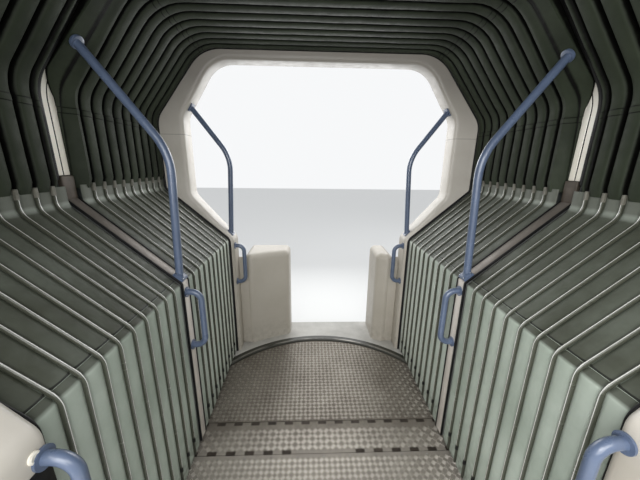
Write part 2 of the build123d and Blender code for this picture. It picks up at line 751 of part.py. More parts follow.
def rear_joint_frame():
    """Carrier round the outer race, arms back to the rear flange, and the damper lug."""
    top = RING_TOP_Z - RACE_LIFT
    bottom = RING_BOTTOM_Z + RACE_LIFT
    frame = tube(CARRIER_RADIUS + CARRIER_WALL, CARRIER_RADIUS, bottom, top)
    lug_top = DAMPER_Z - EYE_HEIGHT / 2 - SEAT_GAP
    lug_bottom = lug_top - LUG_THICK
    arm_end = FLANGE_Y - FLANGE_THICK
    for side in (-1, 1):
        inner = side * (ARM_HALF - ARM_WIDTH)
        outer = side * ARM_HALF
        arm_start = CARRIER_RADIUS + CARRIER_WALL / 2
        arm = block(min(inner, outer), max(inner, outer), 0, arm_end, bottom, top)
        frame += arm - drum(CARRIER_RADIUS + CARRIER_WALL / 2, bottom - 1, top + 1)
        frame += block(
            min(inner, outer), max(inner, outer), arm_start, arm_end, lug_bottom, bottom)
    frame += block(-ARM_HALF, ARM_HALF, arm_start, arm_start + ARM_WIDTH, lug_bottom, top)
    frame += block(-LUG_HALF, LUG_HALF, LUG_FRONT_Y, arm_start + 1, lug_bottom, lug_top)
    return frame + flange(1)


def damper_points(side):
    pin = (side * DAMPER_PIN_X, DAMPER_PIN_Y)
    eye = (side * EYE_RADIUS_FROM_AXIS, 0.0)
    return pin, eye


def damper_barrel(side):
    """Cylinder with its eye on the front pin."""
    pin, eye = damper_points(side)
    way = unit(pin, eye)
    near = EYE_RADIUS - 5
    start = (pin[0] + way[0] * near, pin[1] + way[1] * near, DAMPER_Z)
    end = (pin[0] + way[0] * (near + BARREL_LENGTH), pin[1] + way[1] * (near + BARREL_LENGTH), DAMPER_Z)
    low = DAMPER_Z - EYE_HEIGHT / 2
    high = DAMPER_Z + EYE_HEIGHT / 2
    barrel = drum(EYE_RADIUS, low, high, *pin) + rod_between(start, end, BARREL_RADIUS)
    barrel -= drum(PIN_RADIUS + PIN_CLEAR, low - BARREL_RADIUS, high + BARREL_RADIUS, *pin)
    bore_start = (end[0] - way[0] * (BARREL_LENGTH - 20), end[1] - way[1] * (BARREL_LENGTH - 20), DAMPER_Z)
    bore_end = (end[0] + way[0], end[1] + way[1], DAMPER_Z)
    return barrel - rod_between(bore_start, bore_end, BARREL_BORE)


def damper_rod(side):
    """Piston rod with its eye over the lug of the rear frame."""
    pin, eye = damper_points(side)
    way = unit(pin, eye)
    length = math.dist(pin, eye)
    inside = EYE_RADIUS - 5 + BARREL_LENGTH - ROD_INSERT
    start = (pin[0] + way[0] * inside, pin[1] + way[1] * inside, DAMPER_Z)
    reach = length - EYE_RADIUS / 2
    end = (pin[0] + way[0] * reach, pin[1] + way[1] * reach, DAMPER_Z)
    low = DAMPER_Z - EYE_HEIGHT / 2
    high = DAMPER_Z + EYE_HEIGHT / 2
    return rod_between(start, end, ROD_RADIUS) + drum(EYE_RADIUS, low, high, *eye)


def build():
    """Every node by name, as a list of its solids."""
    nodes = {}
    front_threshold = -PLATE
    rear_threshold = -PLATE - RIB - DISC_GAP
    end_handles = BELLOWS_END + END_HANDLE_BACK
    middle_corners = [
        (AISLE_HALF, LEDGE_Z),
        (WALL_HALF, SHOULDER_Z),
        *moved_out(passage(0, 0), MIDDLE_SETBACK)[3:5]]
    lining_corners = lining_outline(0, 0)[1:5]

    nodes["front_end_frame"] = to_front([end_frame(front_threshold)])
    nodes["front_portal_lining"] = to_front(portal_lining(front_threshold))
    nodes["front_grab_handles"] = pair(grab_handle(LINING_AISLE, -end_handles))
    nodes["front_joint_frame"] = [front_joint_frame()]
    nodes["ring_inner_race"] = [inner_race()]
    nodes["centre_post"] = [centre_post()]
    nodes["floor_carrier"] = [floor_carrier()]
    nodes["front_floor_plate"] = [front_plate()]
    nodes["link_plate"] = [link_plate()]
    nodes["turning_plate"] = [turning_plate()]
    nodes["plate_hinges"] = hinge_knuckles()

    outer_folds = bellows_half(outer_wave)
    inner_folds = []
    for fold in bellows_half(inner_wave):
        inner_folds += pair(fold)
    nodes["outer_bellows_front"] = to_front(outer_folds)
    nodes["inner_bellows_front"] = to_front(inner_folds)
    nodes["outer_bellows_rear"] = outer_folds
    nodes["inner_bellows_rear"] = inner_folds

    for k, place in enumerate(HOOP_PLACES):
        nodes[f"hoop_{WAVE_COUNT - 1 - k:02d}"] = [hoop(-place)]
        nodes[f"hoop_{WAVE_COUNT + 1 + k:02d}"] = [hoop(place)]

    nodes["middle_frame"] = [middle_frame()]
    nodes["middle_frame_cover"] = pair(middle_cover())
    edges = []
    for edge in middle_edges():
        edges += pair(edge)
    nodes["middle_edge_seals"] = edges
    nodes["middle_wall_strips"] = pair(wall_strip())
    nodes["middle_crossbeam"] = [crossbeam()]
    nodes["middle_grab_poles"] = pair(grab_pole(middle_corners, MIDDLE_LEDGE_ROUND, 0.0))
    nodes["middle_grab_handles"] = pair(grab_handle(AISLE_HALF, 0.0))

    nodes["rear_end_frame"] = [end_frame(rear_threshold)]
    nodes["rear_portal_lining"] = portal_lining(REAR_FLOOR_TOP)
    nodes["rear_grab_handles"] = pair(grab_handle(LINING_AISLE, end_handles))
    nodes["rear_grab_poles"] = pair(
        grab_pole(lining_corners, LEDGE_ROUND, BELLOWS_END + REAR_POLE_BACK))
    nodes["rear_floor"] = [rear_floor()]
    nodes["rear_sill"] = [sill()]
    nodes["rear_side_box_left"] = [side_box(-BOX_OUTER, LEFT_BOX_WIDTH - BOX_OUTER)]
    nodes["rear_side_box_right"] = [side_box(BOX_OUTER - RIGHT_BOX_WIDTH, BOX_OUTER)]
    nodes["rear_joint_frame"] = [rear_joint_frame()]
    nodes["ring_outer_race"] = [outer_race()]

    for name, side in (("left", -1), ("right", 1)):
        nodes[f"damper_barrel_{name}"] = [damper_barrel(side)]
        nodes[f"damper_rod_{name}"] = [damper_rod(side)]
    return nodes


os.makedirs("parts", exist_ok=True)
to_flange = Location((0, FLANGE_Y, -FLANGE_Z))
for node, solids in build().items():
    whole = solids[0] if len(solids) == 1 else Compound(children=list(solids))
    export_step(whole.moved(to_flange), os.path.join("parts", node + ".step"))
    print(node, len(solids))
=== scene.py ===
# %% [markdown]
# # The gangway joint of an articulated bus
# A folding tunnel joins the two halves of a long bus. Cloth folds hang on thin metal hoops, a
# frame in the middle carries grab rails, and the floor is a turntable of tread plate. The packed
# CAD model is the frame that every piece here is placed on.

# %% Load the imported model
import json
import math
import bmesh
import bpy
from mathutils import Matrix, Vector, noise


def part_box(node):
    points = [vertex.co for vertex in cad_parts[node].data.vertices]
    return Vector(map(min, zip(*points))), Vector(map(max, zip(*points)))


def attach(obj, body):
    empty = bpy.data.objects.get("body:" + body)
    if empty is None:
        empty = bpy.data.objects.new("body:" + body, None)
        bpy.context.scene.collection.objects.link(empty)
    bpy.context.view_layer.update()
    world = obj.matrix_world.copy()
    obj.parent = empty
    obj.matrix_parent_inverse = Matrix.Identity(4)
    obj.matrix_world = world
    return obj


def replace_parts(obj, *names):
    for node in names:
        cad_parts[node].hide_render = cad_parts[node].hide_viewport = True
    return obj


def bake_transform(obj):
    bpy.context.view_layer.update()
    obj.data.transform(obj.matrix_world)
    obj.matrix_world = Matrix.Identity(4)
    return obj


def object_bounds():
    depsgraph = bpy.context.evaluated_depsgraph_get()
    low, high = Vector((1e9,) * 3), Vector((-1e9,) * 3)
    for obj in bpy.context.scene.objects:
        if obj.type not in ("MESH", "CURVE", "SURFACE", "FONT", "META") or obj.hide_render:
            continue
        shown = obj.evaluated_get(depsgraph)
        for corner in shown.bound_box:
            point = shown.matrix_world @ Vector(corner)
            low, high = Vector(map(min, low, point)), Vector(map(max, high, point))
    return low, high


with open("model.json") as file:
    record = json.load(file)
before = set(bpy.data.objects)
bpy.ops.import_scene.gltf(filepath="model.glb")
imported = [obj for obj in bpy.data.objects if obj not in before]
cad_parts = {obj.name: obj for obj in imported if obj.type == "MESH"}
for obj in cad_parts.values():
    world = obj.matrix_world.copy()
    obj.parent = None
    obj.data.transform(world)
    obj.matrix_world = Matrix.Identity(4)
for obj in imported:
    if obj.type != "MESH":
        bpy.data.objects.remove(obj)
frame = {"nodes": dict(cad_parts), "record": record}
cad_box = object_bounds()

# %% [markdown]
# Places along the bus come from the CAD nodes, so the cloth ends where the hoops and the portals
# really are. The outline of the passage is a short table of corners: half width, height, radius,
# and how far the cloth is lifted there, as at a sewn lap.

# %% Places and outlines
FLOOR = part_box("link_plate")[1].z
MIDDLE_NEAR, MIDDLE_FAR = (corner.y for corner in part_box("middle_frame"))
AXIS_Y = (MIDDLE_NEAR + MIDDLE_FAR) / 2
FRONT_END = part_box("front_portal_lining")[1].y
REAR_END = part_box("rear_portal_lining")[0].y
HOOPS = {i: sum(corner.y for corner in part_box(f"hoop_{i:02d}")) / 2
         for i in range(1, 20) if i != 10}
AISLE, WALL, ROOF_HALF = 0.670, 1.085, 0.760
LEDGE, SHOULDER, BROW, ROOF = (FLOOR + z for z in (0.960, 1.327, 1.785, 2.200))
SKIRT, FOOT = FLOOR - 0.150, FLOOR + 0.026
TAB_TOP, SEAM_Z, ROOF_LAP = FLOOR + 1.400, FLOOR + 1.710, 0.745
LAP_LIFT = 0.0015
SLOPE = Vector((WALL - AISLE, SHOULDER - LEDGE)).normalized()


def row(x, z, rounding=0.0, lift=0.0):
    return x, z, rounding, lift


def both(half):
    """A right half from its foot up, followed by its mirror image."""
    return half + [row(-x, *rest) for x, *rest in reversed(half)]


def lap(x, z):
    """Four places of a sewn lap, lifted by a cloth's thickness."""
    steps = ((-0.012, 0), (-0.0105, LAP_LIFT), (0.0105, LAP_LIFT), (0.012, 0))
    return [row(x, z + up, 0, lift) for up, lift in steps]


def up_slope(reach):
    """A place on the slope, this far from the ledge's corner."""
    return AISLE + SLOPE.x * reach, LEDGE + SLOPE.y * reach


OVERHEAD = [row(WALL, BROW, 0.150), row(ROOF_HALF, ROOF, 0.250)]


def passage(low):
    return both([row(AISLE, low), row(AISLE, LEDGE, 0.060), row(WALL, SHOULDER, 0.040), *OVERHEAD])


ARCH = both([row(WALL, SKIRT), *OVERHEAD])
UPPER = both([row(WALL, TAB_TOP - 0.010, 0, -0.012), row(WALL, TAB_TOP + 0.030), *lap(WALL, SEAM_Z),
              *OVERHEAD])
LINING = both([
    row(0.640, FLOOR), row(0.640, LEDGE, 0.060), row(0.920, SHOULDER - 0.043, 0.090),
    row(0.920, BROW + 0.015, 0.130), row(0.700, ROOF - 0.060, 0.200)])
LOWER = [
    row(AISLE, FOOT), row(AISLE, LEDGE, 0.030), row(*up_slope(0.030)),
    row(*up_slope(0.031), 0, LAP_LIFT), row(WALL, SHOULDER, 0.050), row(WALL, TAB_TOP + 0.005)]
RIDGE = [row(AISLE, FLOOR + 0.130), row(AISLE, LEDGE, 0.060), row(WALL, SHOULDER, 0.060),
         row(WALL, TAB_TOP - 0.008)]
print("floor", round(FLOOR, 3), "middle", round(AXIS_Y, 3), "hoops", len(HOOPS))

# %% [markdown]
# One outline serves many rows of cloth: it is moved out square to itself, its roundings growing or
# shrinking with it, and walked in even steps. Every row gets the same number of points, so that an
# extruded row can be laid on the next one.

# %% Walk along an outline


def along(a, b):
    return Vector((b[0] - a[0], b[1] - a[1])).normalized()


def turns_in(before, after):
    return before.x * after.y - before.y * after.x > 0


def moved_out(corners, out):
    """The corners moved out square to the outline, by a distance or by a rule of x and z."""
    result = []
    last = len(corners) - 1
    for i, (x, z, rounding, lift) in enumerate(corners):
        before = along(corners[max(i - 1, 0)], corners[max(i, 1)])
        after = along(corners[min(i, last - 1)], corners[min(i + 1, last)])
        side = 1 + before.dot(after)
        shift = (out(x, z) if callable(out) else out) - lift
        x += shift * (before.y + after.y) / side
        z -= shift * (before.x + after.x) / side
        if rounding:
            grown = shift if turns_in(before, after) else -shift
            rounding = max(0.004, rounding + grown)
        result.append((x, z, rounding))
    return result


def walk(corners, out=0.0, step=0.10, arc=6, like=None):
    """Points (x, z) along the outline once it is moved out, with arc steps on each rounding.
    like is the outline whose runs decide the number of steps, where two of them are to match."""
    moved = moved_out(corners, out)
    points = [Vector(moved[0][:2])]
    for i in range(1, len(moved)):
        corner, rounding = Vector(moved[i][:2]), moved[i][2]
        before = along(moved[i - 1], moved[i])
        reach, turn = 0.0, 0.0
        if rounding:
            after = along(moved[i], moved[i + 1])
            turn = math.acos(max(-1.0, min(1.0, before.dot(after))))
            reach = rounding * math.tan(turn / 2)
        end = corner - before * reach
        run = math.dist(*(corner[:2] for corner in (like or corners)[i - 1:i + 1]))
        steps = max(1, round(run / step))
        start = points[-1]
        points += [start.lerp(end, k / steps) for k in range(1, steps + 1)]
        if rounding:
            way = 1 if turns_in(before, after) else -1
            centre = end + Vector((-before.y, before.x)) * rounding * way
            for k in range(1, arc + 1):
                points.append(centre + Matrix.Rotation(way * turn * k / arc, 2) @ (end - centre))
    return points


print(len(walk(ARCH)), "points on the arch,", len(walk(LOWER)), "on the lower wall")

# %% [markdown]
# A swept mesh starts as one row of edges. Each further row is that edge chain extruded, and a
# number on each vertex says where it lies on the new row. The same numbers give the cloth its own
# UV map in metres, so that weave and stitching follow the surface.

# %% Sweep rows into a mesh


def sweep(rows, closed=False, ends_at=None):
    """Extrudes the first row of points through the others; closed joins the last to the first.
    Widths are measured from the first row, or so that the last one lies at ends_at."""
    bm = bmesh.new()
    place = bm.verts.layers.int.new("place")
    u, v = bm.verts.layers.float.new("u"), bm.verts.layers.float.new("v")
    far = [0.0]
    for a, b in zip(rows[0], rows[0][1:]):
        far.append(far[-1] + (b - a).length)
    middle = len(rows[0]) // 3
    across = [0.0]
    for a, b in zip(rows, rows[1:]):
        across.append(across[-1] + (b[middle] - a[middle]).length)
    if ends_at:
        across = [wide + ends_at - across[-1] for wide in across]
    first = []
    for i, point in enumerate(rows[0]):
        vert = bm.verts.new(point)
        vert[place], vert[u], vert[v] = i, far[i], across[0]
        first.append(vert)
    edges = [bm.edges.new(pair) for pair in zip(first, first[1:])]
    start = list(edges)
    for points, wide in zip(rows[1:], across[1:]):
        made = bmesh.ops.extrude_edge_only(bm, edges=edges)["geom"]
        fresh = {g for g in made if isinstance(g, bmesh.types.BMVert)}
        for vert in fresh:
            vert.co, vert[v] = points[vert[place]], wide
        edges = [g for g in made if isinstance(g, bmesh.types.BMEdge) and fresh.issuperset(g.verts)]
    if closed:
        bmesh.ops.bridge_loops(bm, edges=edges + start)
        bmesh.ops.holes_fill(bm, edges=[e for e in bm.edges if e.is_boundary])
    cloth = bm.loops.layers.uv.new("cloth")
    for face in bm.faces:
        for loop in face.loops:
            loop[cloth].uv = (loop.vert[u], loop.vert[v])
    return bm


print("sweep ready")

# %% [markdown]
# Most pieces share their last steps: an edge is rounded, the right side is mirrored to the left,
# and faces are shaded smooth up to an angle. The finished mesh then becomes an object in the finish
# of its slot, or in another finish, and rides on its body where one is given.

# %% Round, mirror, shade and place
FINISHES = {}


def rounded(bm, edges, offset, segments, clamp=False):
    bmesh.ops.bevel(bm, geom=edges, offset=offset, segments=segments, profile=0.5,
                    affect="EDGES", material=-1, clamp_overlap=clamp)


def mirrored(bm):
    """The shape and its mirror image across the bus."""
    bmesh.ops.mirror(bm, geom=bm.verts[:] + bm.edges[:] + bm.faces[:], merge_dist=-1, axis="X")
    return bm


def shaded(bm, angle):
    """Smooth faces, with the sharper edges kept sharp."""
    bmesh.ops.recalc_face_normals(bm, faces=bm.faces)
    for face in bm.faces:
        face.smooth = True
    for edge in bm.edges:
        edge.smooth = edge.is_manifold and edge.calc_face_angle(0) < math.radians(angle)
    return bm


def placed(name, bm, material):
    mesh = bpy.data.meshes.new(name)
    bm.to_mesh(mesh)
    bm.free()
    mesh.materials.append(material)
    made = bpy.data.objects.new(name, mesh)
    bpy.context.scene.collection.objects.link(made)
    return made


def piece(name, bm, slot, body=None, finish=None, angle=40):
    """A shaded piece in its slot's finish, or in another one, that rides on its body."""
    made = placed(name, shaded(bm, angle), FINISHES[finish or slot])
    if body:
        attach(made, body)
    return made


print("mesh helpers ready")

# %% [markdown]
# The camera stands where the photograph was taken: in the front section, at eye height, looking
# a little down. The lens is short, because the tunnel fills the picture.

# %% Camera
EYE, FOCAL_LENGTH = (-0.080, -0.438, 1.675), 15.89
PAN, DOWN, LEAN = -2.22, 15.19, 0.75
lens = bpy.data.cameras.new("camera")
lens.lens, lens.sensor_width = FOCAL_LENGTH, 36.0
camera = bpy.data.objects.new("camera", lens)
camera.location = EYE
pan, tilt, lean = (Matrix.Rotation(math.radians(angle), 3, axis)
                   for angle, axis in ((PAN, "Z"), (90 - DOWN, "X"), (LEAN, "Z")))
camera.rotation_euler = (pan @ tilt @ lean).to_euler()
bpy.context.scene.collection.objects.link(camera)
bpy.context.scene.camera = camera
print("camera at", tuple(camera.location))

# %% [markdown]
# Daylight reaches a gangway from both of its ends, and the ceiling lights of both sections help.
# Four soft panels stand in for them, and two larger ones light the outside.

# %% Lamps
LAMPS = {  # where it hangs, what it points at, its size and its power
    "rear_daylight": ((0, 3.6, 2.0), (0, 0.9, 1.0), (2.6, 1.6), 27),
    "front_daylight": ((-0.9, -2.0, 1.9), (0.35, 0.9, 0.7), (2.4, 1.8), 58),
    "front_ceiling": ((0, -1.1, 2.0), (0, 0.5, 0.2), (1.6, 0.8), 20),
    "rear_ceiling": ((0, 2.3, 2.05), (0, 1.1, 0.7), (1.3, 0.5), 6),
    "outside_left": ((-4.5, -3.5, 5.5), (0, 0.8, 1.1), (3.0, 3.0), 130),
    "outside_right": ((5.0, 4.0, 4.0), (0, 0.8, 1.1), (3.0, 3.0), 70)}
for name, (place, towards, size, power) in LAMPS.items():
    light = bpy.data.lights.new(name, "AREA")
    light.shape, light.size, light.size_y, light.energy = "RECTANGLE", *size, power
    lamp = bpy.data.objects.new(name, light)
    lamp.location = place
    lamp.rotation_euler = (Vector(towards) - Vector(place)).to_track_quat("-Z", "Y").to_euler()
    lamp.visible_camera = False
    bpy.context.scene.collection.objects.link(lamp)
print(len(LAMPS), "lamps")

# %% [markdown]
# The world shows white to the camera and in reflections, and gives an even grey light otherwise.
# Its nodes are made with the small helper that every finish uses too: a node with its settings,
# and its inputs given by name or number, as values or as links.

# %% World and studio floor


def node(group, kind, settings=None, **values):
    """A node; i0 is its first input, and an underscore stands for a space in an input's name."""
    made = group.nodes.new(kind)
    for key, value in (settings or {}).items():
        setattr(made, key, value)
    for key, value in values.items():
        numbered = key[0] == "i" and key[1:].isdigit()
        socket = made.inputs[int(key[1:]) if numbered else key.replace("_", " ")]
        if isinstance(value, bpy.types.NodeSocket):
            group.links.new(value, socket)
        else:
            socket.default_value = value
    return made


def maths(group, operation, a, b=0.0, clamp=False):
    settings = {"operation": operation, "use_clamp": clamp}
    return node(group, "ShaderNodeMath", settings, i0=a, i1=b).outputs[0]


world = bpy.data.worlds.new("studio")
bpy.context.scene.world = world
world.use_nodes = True
tree = world.node_tree
tree.nodes.clear()
rays = node(tree, "ShaderNodeLightPath").outputs
seen = maths(tree, "ADD", rays["Is Camera Ray"], rays["Is Glossy Ray"], True)
seen = maths(tree, "ADD", seen, rays["Is Transmission Ray"], True)
even = node(tree, "ShaderNodeBackground", Color=(0.84, 0.86, 0.88, 1), Strength=0.80)
white = node(tree, "ShaderNodeBackground", Color=(0.93, 0.94, 0.95, 1))
mixed = node(tree, "ShaderNodeMixShader", i0=seen, i1=even.outputs[0], i2=white.outputs[0])
node(tree, "ShaderNodeOutputWorld", Surface=mixed.outputs[0])
bpy.context.scene.view_settings.view_transform = "Standard"

pale = bpy.data.materials.new("studio_pale")
pale.use_nodes = True
shader = pale.node_tree.nodes["Principled BSDF"]
shader.inputs["Base Color"].default_value = (0.86, 0.86, 0.85, 1)
shader.inputs["Roughness"].default_value = 0.9
bm = bmesh.new()
bmesh.ops.create_grid(bm, x_segments=1, y_segments=1, size=20)
bmesh.ops.translate(bm, verts=bm.verts, vec=(0, 0, cad_box[0][2] - 0.001))
placed("studio_floor", bm, pale)
print("a pale floor and an even world")

# %% [markdown]
# Effects that several finishes share are node groups. Cloudy gives the slow change of colour that
# dust and handling leave, Scratched the fine directional marks on metal, Weave the threads of
# coated cloth, and Grain the pebbled skin of moulded plastic. Each gives out a mask or a height.

# %% Shared effects


def effect(name, number, usual, result, build):
    """A node group with a place and one number going in, and one value coming out."""
    group = bpy.data.node_groups.new(name, "ShaderNodeTree")
    new_socket = group.interface.new_socket
    new_socket("Vector", in_out="INPUT", socket_type="NodeSocketVector")
    new_socket(number, in_out="INPUT", socket_type="NodeSocketFloat").default_value = usual
    new_socket(result, in_out="OUTPUT", socket_type="NodeSocketFloat")
    given, out = group.nodes.new("NodeGroupInput").outputs, group.nodes.new("NodeGroupOutput")
    group.links.new(build(group, given["Vector"], given[number]), out.inputs[result])
    return group


def spread(group, value, low, high, to_low=0.0, to_high=1.0):
    return node(group, "ShaderNodeMapRange", Value=value, From_Min=low, From_Max=high,
                To_Min=to_low, To_Max=to_high).outputs["Result"]


def cloudy(group, place, scale):
    noisy = node(group, "ShaderNodeTexNoise", Vector=place, Scale=scale, Detail=5.0, Roughness=0.62)
    return spread(group, noisy.outputs["Fac"], 0.36, 0.66)


def scratched(group, place, scale):
    drawn = node(group, "ShaderNodeMapping", Vector=place, Scale=(1.0, 1.0, 18.0)).outputs[0]
    lines = node(group, "ShaderNodeTexNoise", Vector=drawn, Scale=scale, Detail=3.0, Roughness=0.7)
    return spread(group, lines.outputs["Fac"], 0.45, 0.75)


def weave(group, place, threads):
    ways = node(group, "ShaderNodeSeparateXYZ", i0=place).outputs
    warp, weft = (maths(group, "SINE", maths(group, "MULTIPLY", way, threads)) for way in ways[:2])
    return maths(group, "MULTIPLY", maths(group, "ABSOLUTE", warp), maths(group, "ABSOLUTE", weft))


def grain(group, place, scale):
    cells = node(group, "ShaderNodeTexVoronoi", {"feature": "SMOOTH_F1"}, Vector=place, Scale=scale)
    return cells.outputs["Distance"]


CLOUDY = effect("Cloudy", "Scale", 3.0, "Mask", cloudy)
SCRATCHED = effect("Scratched", "Scale", 30.0, "Mask", scratched)
WEAVE = effect("Weave", "Threads", 2500.0, "Height", weave)
GRAIN = effect("Grain", "Scale", 400.0, "Height", grain)
print("effects:", [group.name for group in (CLOUDY, SCRATCHED, WEAVE, GRAIN)])

# %% [markdown]
# A finish has two or three colours mixed by masks, a roughness that follows the same masks, and a
# small bump. Colours are written as they look in daylight, 0 to 255, and turned into light values.

# %% Helpers for finishes


def tone(*colour):
    """A colour from 0 to 255 as the light values that a shader takes."""
    return tuple(((c / 255 + 0.055) / 1.055) ** 2.4 if c > 10 else c / 255 / 12.92
                 for c in colour) + (1.0,)


class Finish:
    """A material being built. It joins FINISHES under its name."""

    def __init__(self, name, **values):
        made = FINISHES[name] = bpy.data.materials.new(name)
        made.use_nodes = True
        self.tree = made.node_tree
        self.shader = self.tree.nodes["Principled BSDF"]
        for key, value in values.items():
            self.shader.inputs[key.replace("_", " ")].default_value = value
        self.place = self.add("ShaderNodeTexCoord").outputs["Object"]
        self.x, self.y, self.z = self.add("ShaderNodeSeparateXYZ", i0=self.place).outputs

    def add(self, kind, settings=None, **values):
        return node(self.tree, kind, settings, **values)

    def use(self, group, number, where=None):
        """A shared effect with its scale or its number of threads."""
        where = where or self.place
        return self.add("ShaderNodeGroup", {"node_tree": group}, i0=where, i1=number).outputs[0]

    def on_cloth(self):
        """The cloth's own map in metres, and its parts: along the outline, and across it."""
        where = self.add("ShaderNodeUVMap", {"uv_map": "cloth"}).outputs[0]
        return where, *self.add("ShaderNodeSeparateXYZ", i0=where).outputs[:2]

    def mix(self, mask, first, second):
        first, second = (tone(*c) if isinstance(c, tuple) else c for c in (first, second))
        colours = self.add("ShaderNodeMix", {"data_type": "RGBA"}, i0=mask, i6=first, i7=second)
        return colours.outputs[2]

    def step(self, value, low, high, to_low=0.0, to_high=1.0):
        return spread(self.tree, value, low, high, to_low, to_high)

    def between(self, mask, none, full):
        return self.step(mask, 0.0, 1.0, none, full)

    def times(self, a, b):
        return maths(self.tree, "MULTIPLY", a, b)

    def off(self, value, place):
        """How far a value lies from a place, on either side."""
        return maths(self.tree, "ABSOLUTE", maths(self.tree, "SUBTRACT", value, place))

    def feed(self, **sockets):
        for key, value in sockets.items():
            self.tree.links.new(value, self.shader.inputs[key.replace("_", " ")])

    def bump(self, height, depth, strength):
        made = self.add("ShaderNodeBump", Height=height, Strength=strength, Distance=depth)
        self.feed(Normal=made.outputs[0])


def worn_metal(name, metallic, rough, scale=3.0, scratch=22.0, colours=None):
    """Metal with cloudy dulling, fine scratches, and a roughness that follows them. colours are
    the clean and the dulled one, where the finish has no other pattern."""
    finish = Finish(name, Metallic=metallic)
    clouds, lines = finish.use(CLOUDY, scale), finish.use(SCRATCHED, scratch)
    if colours:
        finish.feed(Base_Color=finish.mix(finish.times(clouds, 0.75), *colours))
    wear_and_highlight = maths(finish.tree, "ADD", clouds, lines)
    finish.feed(Roughness=finish.step(wear_and_highlight, 0.0, 1.6, *rough))
    finish.bump(lines, 0.0004, 0.25)
    return finish


print("finish helpers ready")

# %% [markdown]
# Metals. The end frames and the ring are bare or primed, the covers of the middle frame are dull
# anodised sheet, and the rails are steel tube in a grey-blue powder coat, polished by hands.

# %% Plain metals and rails
METALS = {  # how metallic, roughness, scale of the clouds, clean and dulled colour
    "frame_aluminium": (0.85, (0.38, 0.55), 3.0, (168, 170, 169), (138, 139, 137)),
    "chassis_steel": (0.2, (0.42, 0.7), 3.0, (46, 48, 50), (66, 60, 54)),
    "race_steel": (1.0, (0.28, 0.5), 3.0, (150, 148, 144), (96, 88, 80)),
    "hinge_steel": (0.6, (0.45, 0.7), 12.0, (66, 58, 50), (34, 30, 27)),
    "damper_black": (0.0, (0.3, 0.5), 3.0, (26, 27, 29), (44, 43, 42)),
    "rod_chrome": (1.0, (0.08, 0.2), 3.0, (215, 216, 218), (190, 190, 190)),
    "tab_grey": (0.0, (0.5, 0.7), 20.0, (112, 110, 100), (80, 78, 68)),
    # The corner block's dark brown is painted shade, where the cover's upper end lies in shadow.
    "block_painted_shade": (0.1, (0.45, 0.65), 12.0, (78, 68, 57), (56, 50, 42))}
for name, (metallic, rough, scale, clean, dulled) in METALS.items():
    worn_metal(name, metallic, rough, scale, colours=(clean, dulled))

rail = Finish("blue_rail", Metallic=0.0, Coat_Weight=0.35, Coat_Roughness=0.12)
dulled = rail.use(CLOUDY, 9.0)
rail.feed(Base_Color=rail.mix(rail.times(dulled, 0.6), (88, 101, 124), (69, 81, 103)))
rail.feed(Roughness=rail.between(dulled, 0.26, 0.42))
rail.bump(rail.use(GRAIN, 900.0), 0.0002, 0.2)
print(len(FINISHES), "finishes")

# %% [markdown]
# The cover of the middle frame is darker on the slope than below the ledge. The hoops are black in
# their clamps and scuffed at the foot. The crest of each ridge is pale with a painted highlight,
# while its flanks stay darker.

# %% Cover, hoops and ridges
cover = worn_metal("cover_aluminium", 0.35, (0.36, 0.55), 4.0)
dust = cover.times(cover.use(CLOUDY, 7.0), 0.6)
on_slope = cover.mix(dust, (124, 117, 110), (98, 92, 85))
below_it = cover.mix(dust, (226, 220, 212), (196, 188, 178))
# The slope part takes the darker tone, the part below the ledge the paler one.
low = cover.step(cover.z, LEDGE - 0.004, LEDGE + 0.004, 1.0, 0.0)
cover.feed(Base_Color=cover.mix(low, on_slope, below_it))

hoop = worn_metal("hoop_aluminium", 0.2, (0.45, 0.65), 12.0)
scuffed = hoop.step(hoop.z, FLOOR + 0.150, FLOOR + 0.140)
hoop.feed(Base_Color=hoop.mix(scuffed, (16, 16, 15), (66, 67, 58)))

CREST = 0.0185  # the crest's place across a ridge, on its map
bead = worn_metal("ridge_painted_highlight", 0.35, (0.18, 0.30), 9.0, 6.0)
# The crest is pale as a painted highlight; the flanks are a darker tone.
flank = bead.step(bead.off(bead.on_cloth()[2], CREST), 0.0007, 0.0016)
wear_and_highlight = bead.mix(bead.times(bead.use(CLOUDY, 16.0), 0.6), (252, 252, 247), (206, 206, 197))
bead.feed(Base_Color=bead.mix(flank, wear_and_highlight, (70, 72, 62)), Metallic=bead.between(flank, 0.35, 0.1))
print("cover, hoops and ridges")

# %% [markdown]
# Tread plate is rolled aluminium. Shoes polish the tops of its lugs, while the ground between them
# fills with brown dirt, so the height above the floor decides the colour and the gloss. Towards the
# front the plates are painted lighter, as painted light from the front.

# %% Tread plate, sill and vinyl floor
tread = Finish("tread_plate")
raised = tread.step(tread.z, FLOOR + 0.0001, FLOOR + 0.0009)
dirt, crumbs = tread.use(CLOUDY, 5.0), tread.use(CLOUDY, 38.0)
ground = tread.mix(dirt, (122, 116, 106), (98, 91, 82))
ground = tread.mix(tread.times(crumbs, 0.4), ground, (76, 69, 60))
tops = tread.mix(tread.times(dirt, 0.5), (168, 163, 154), (138, 132, 122))
# Painted light from the front: the plates turn lighter towards the front, most on the lug tops.
painted_front_light = tread.step(tread.y, AXIS_Y - 0.12, AXIS_Y + 0.10, 0.52, 0.0)
painted_front_light_on_plate = tread.times(painted_front_light, tread.between(raised, 0.34, 1.0))
tread.feed(Base_Color=tread.mix(painted_front_light_on_plate, tread.mix(raised, ground, tops), (228, 222, 212)))
tread.feed(Metallic=tread.between(raised, 0.45, 0.85), Roughness=tread.between(raised, 0.55, 0.36))
tread.bump(crumbs, 0.0006, 0.35)

sill = worn_metal("dark_sill", 0.3, (0.3, 0.5), 8.0)
polished = sill.step(sill.z, FLOOR + 0.0134, FLOOR + 0.0141)
shiny = sill.times(polished, sill.use(CLOUDY, 6.0))
sill.feed(Base_Color=sill.mix(shiny, (52, 52, 45), (150, 147, 140)))
sill.feed(Metallic=sill.between(shiny, 0.0, 0.8))

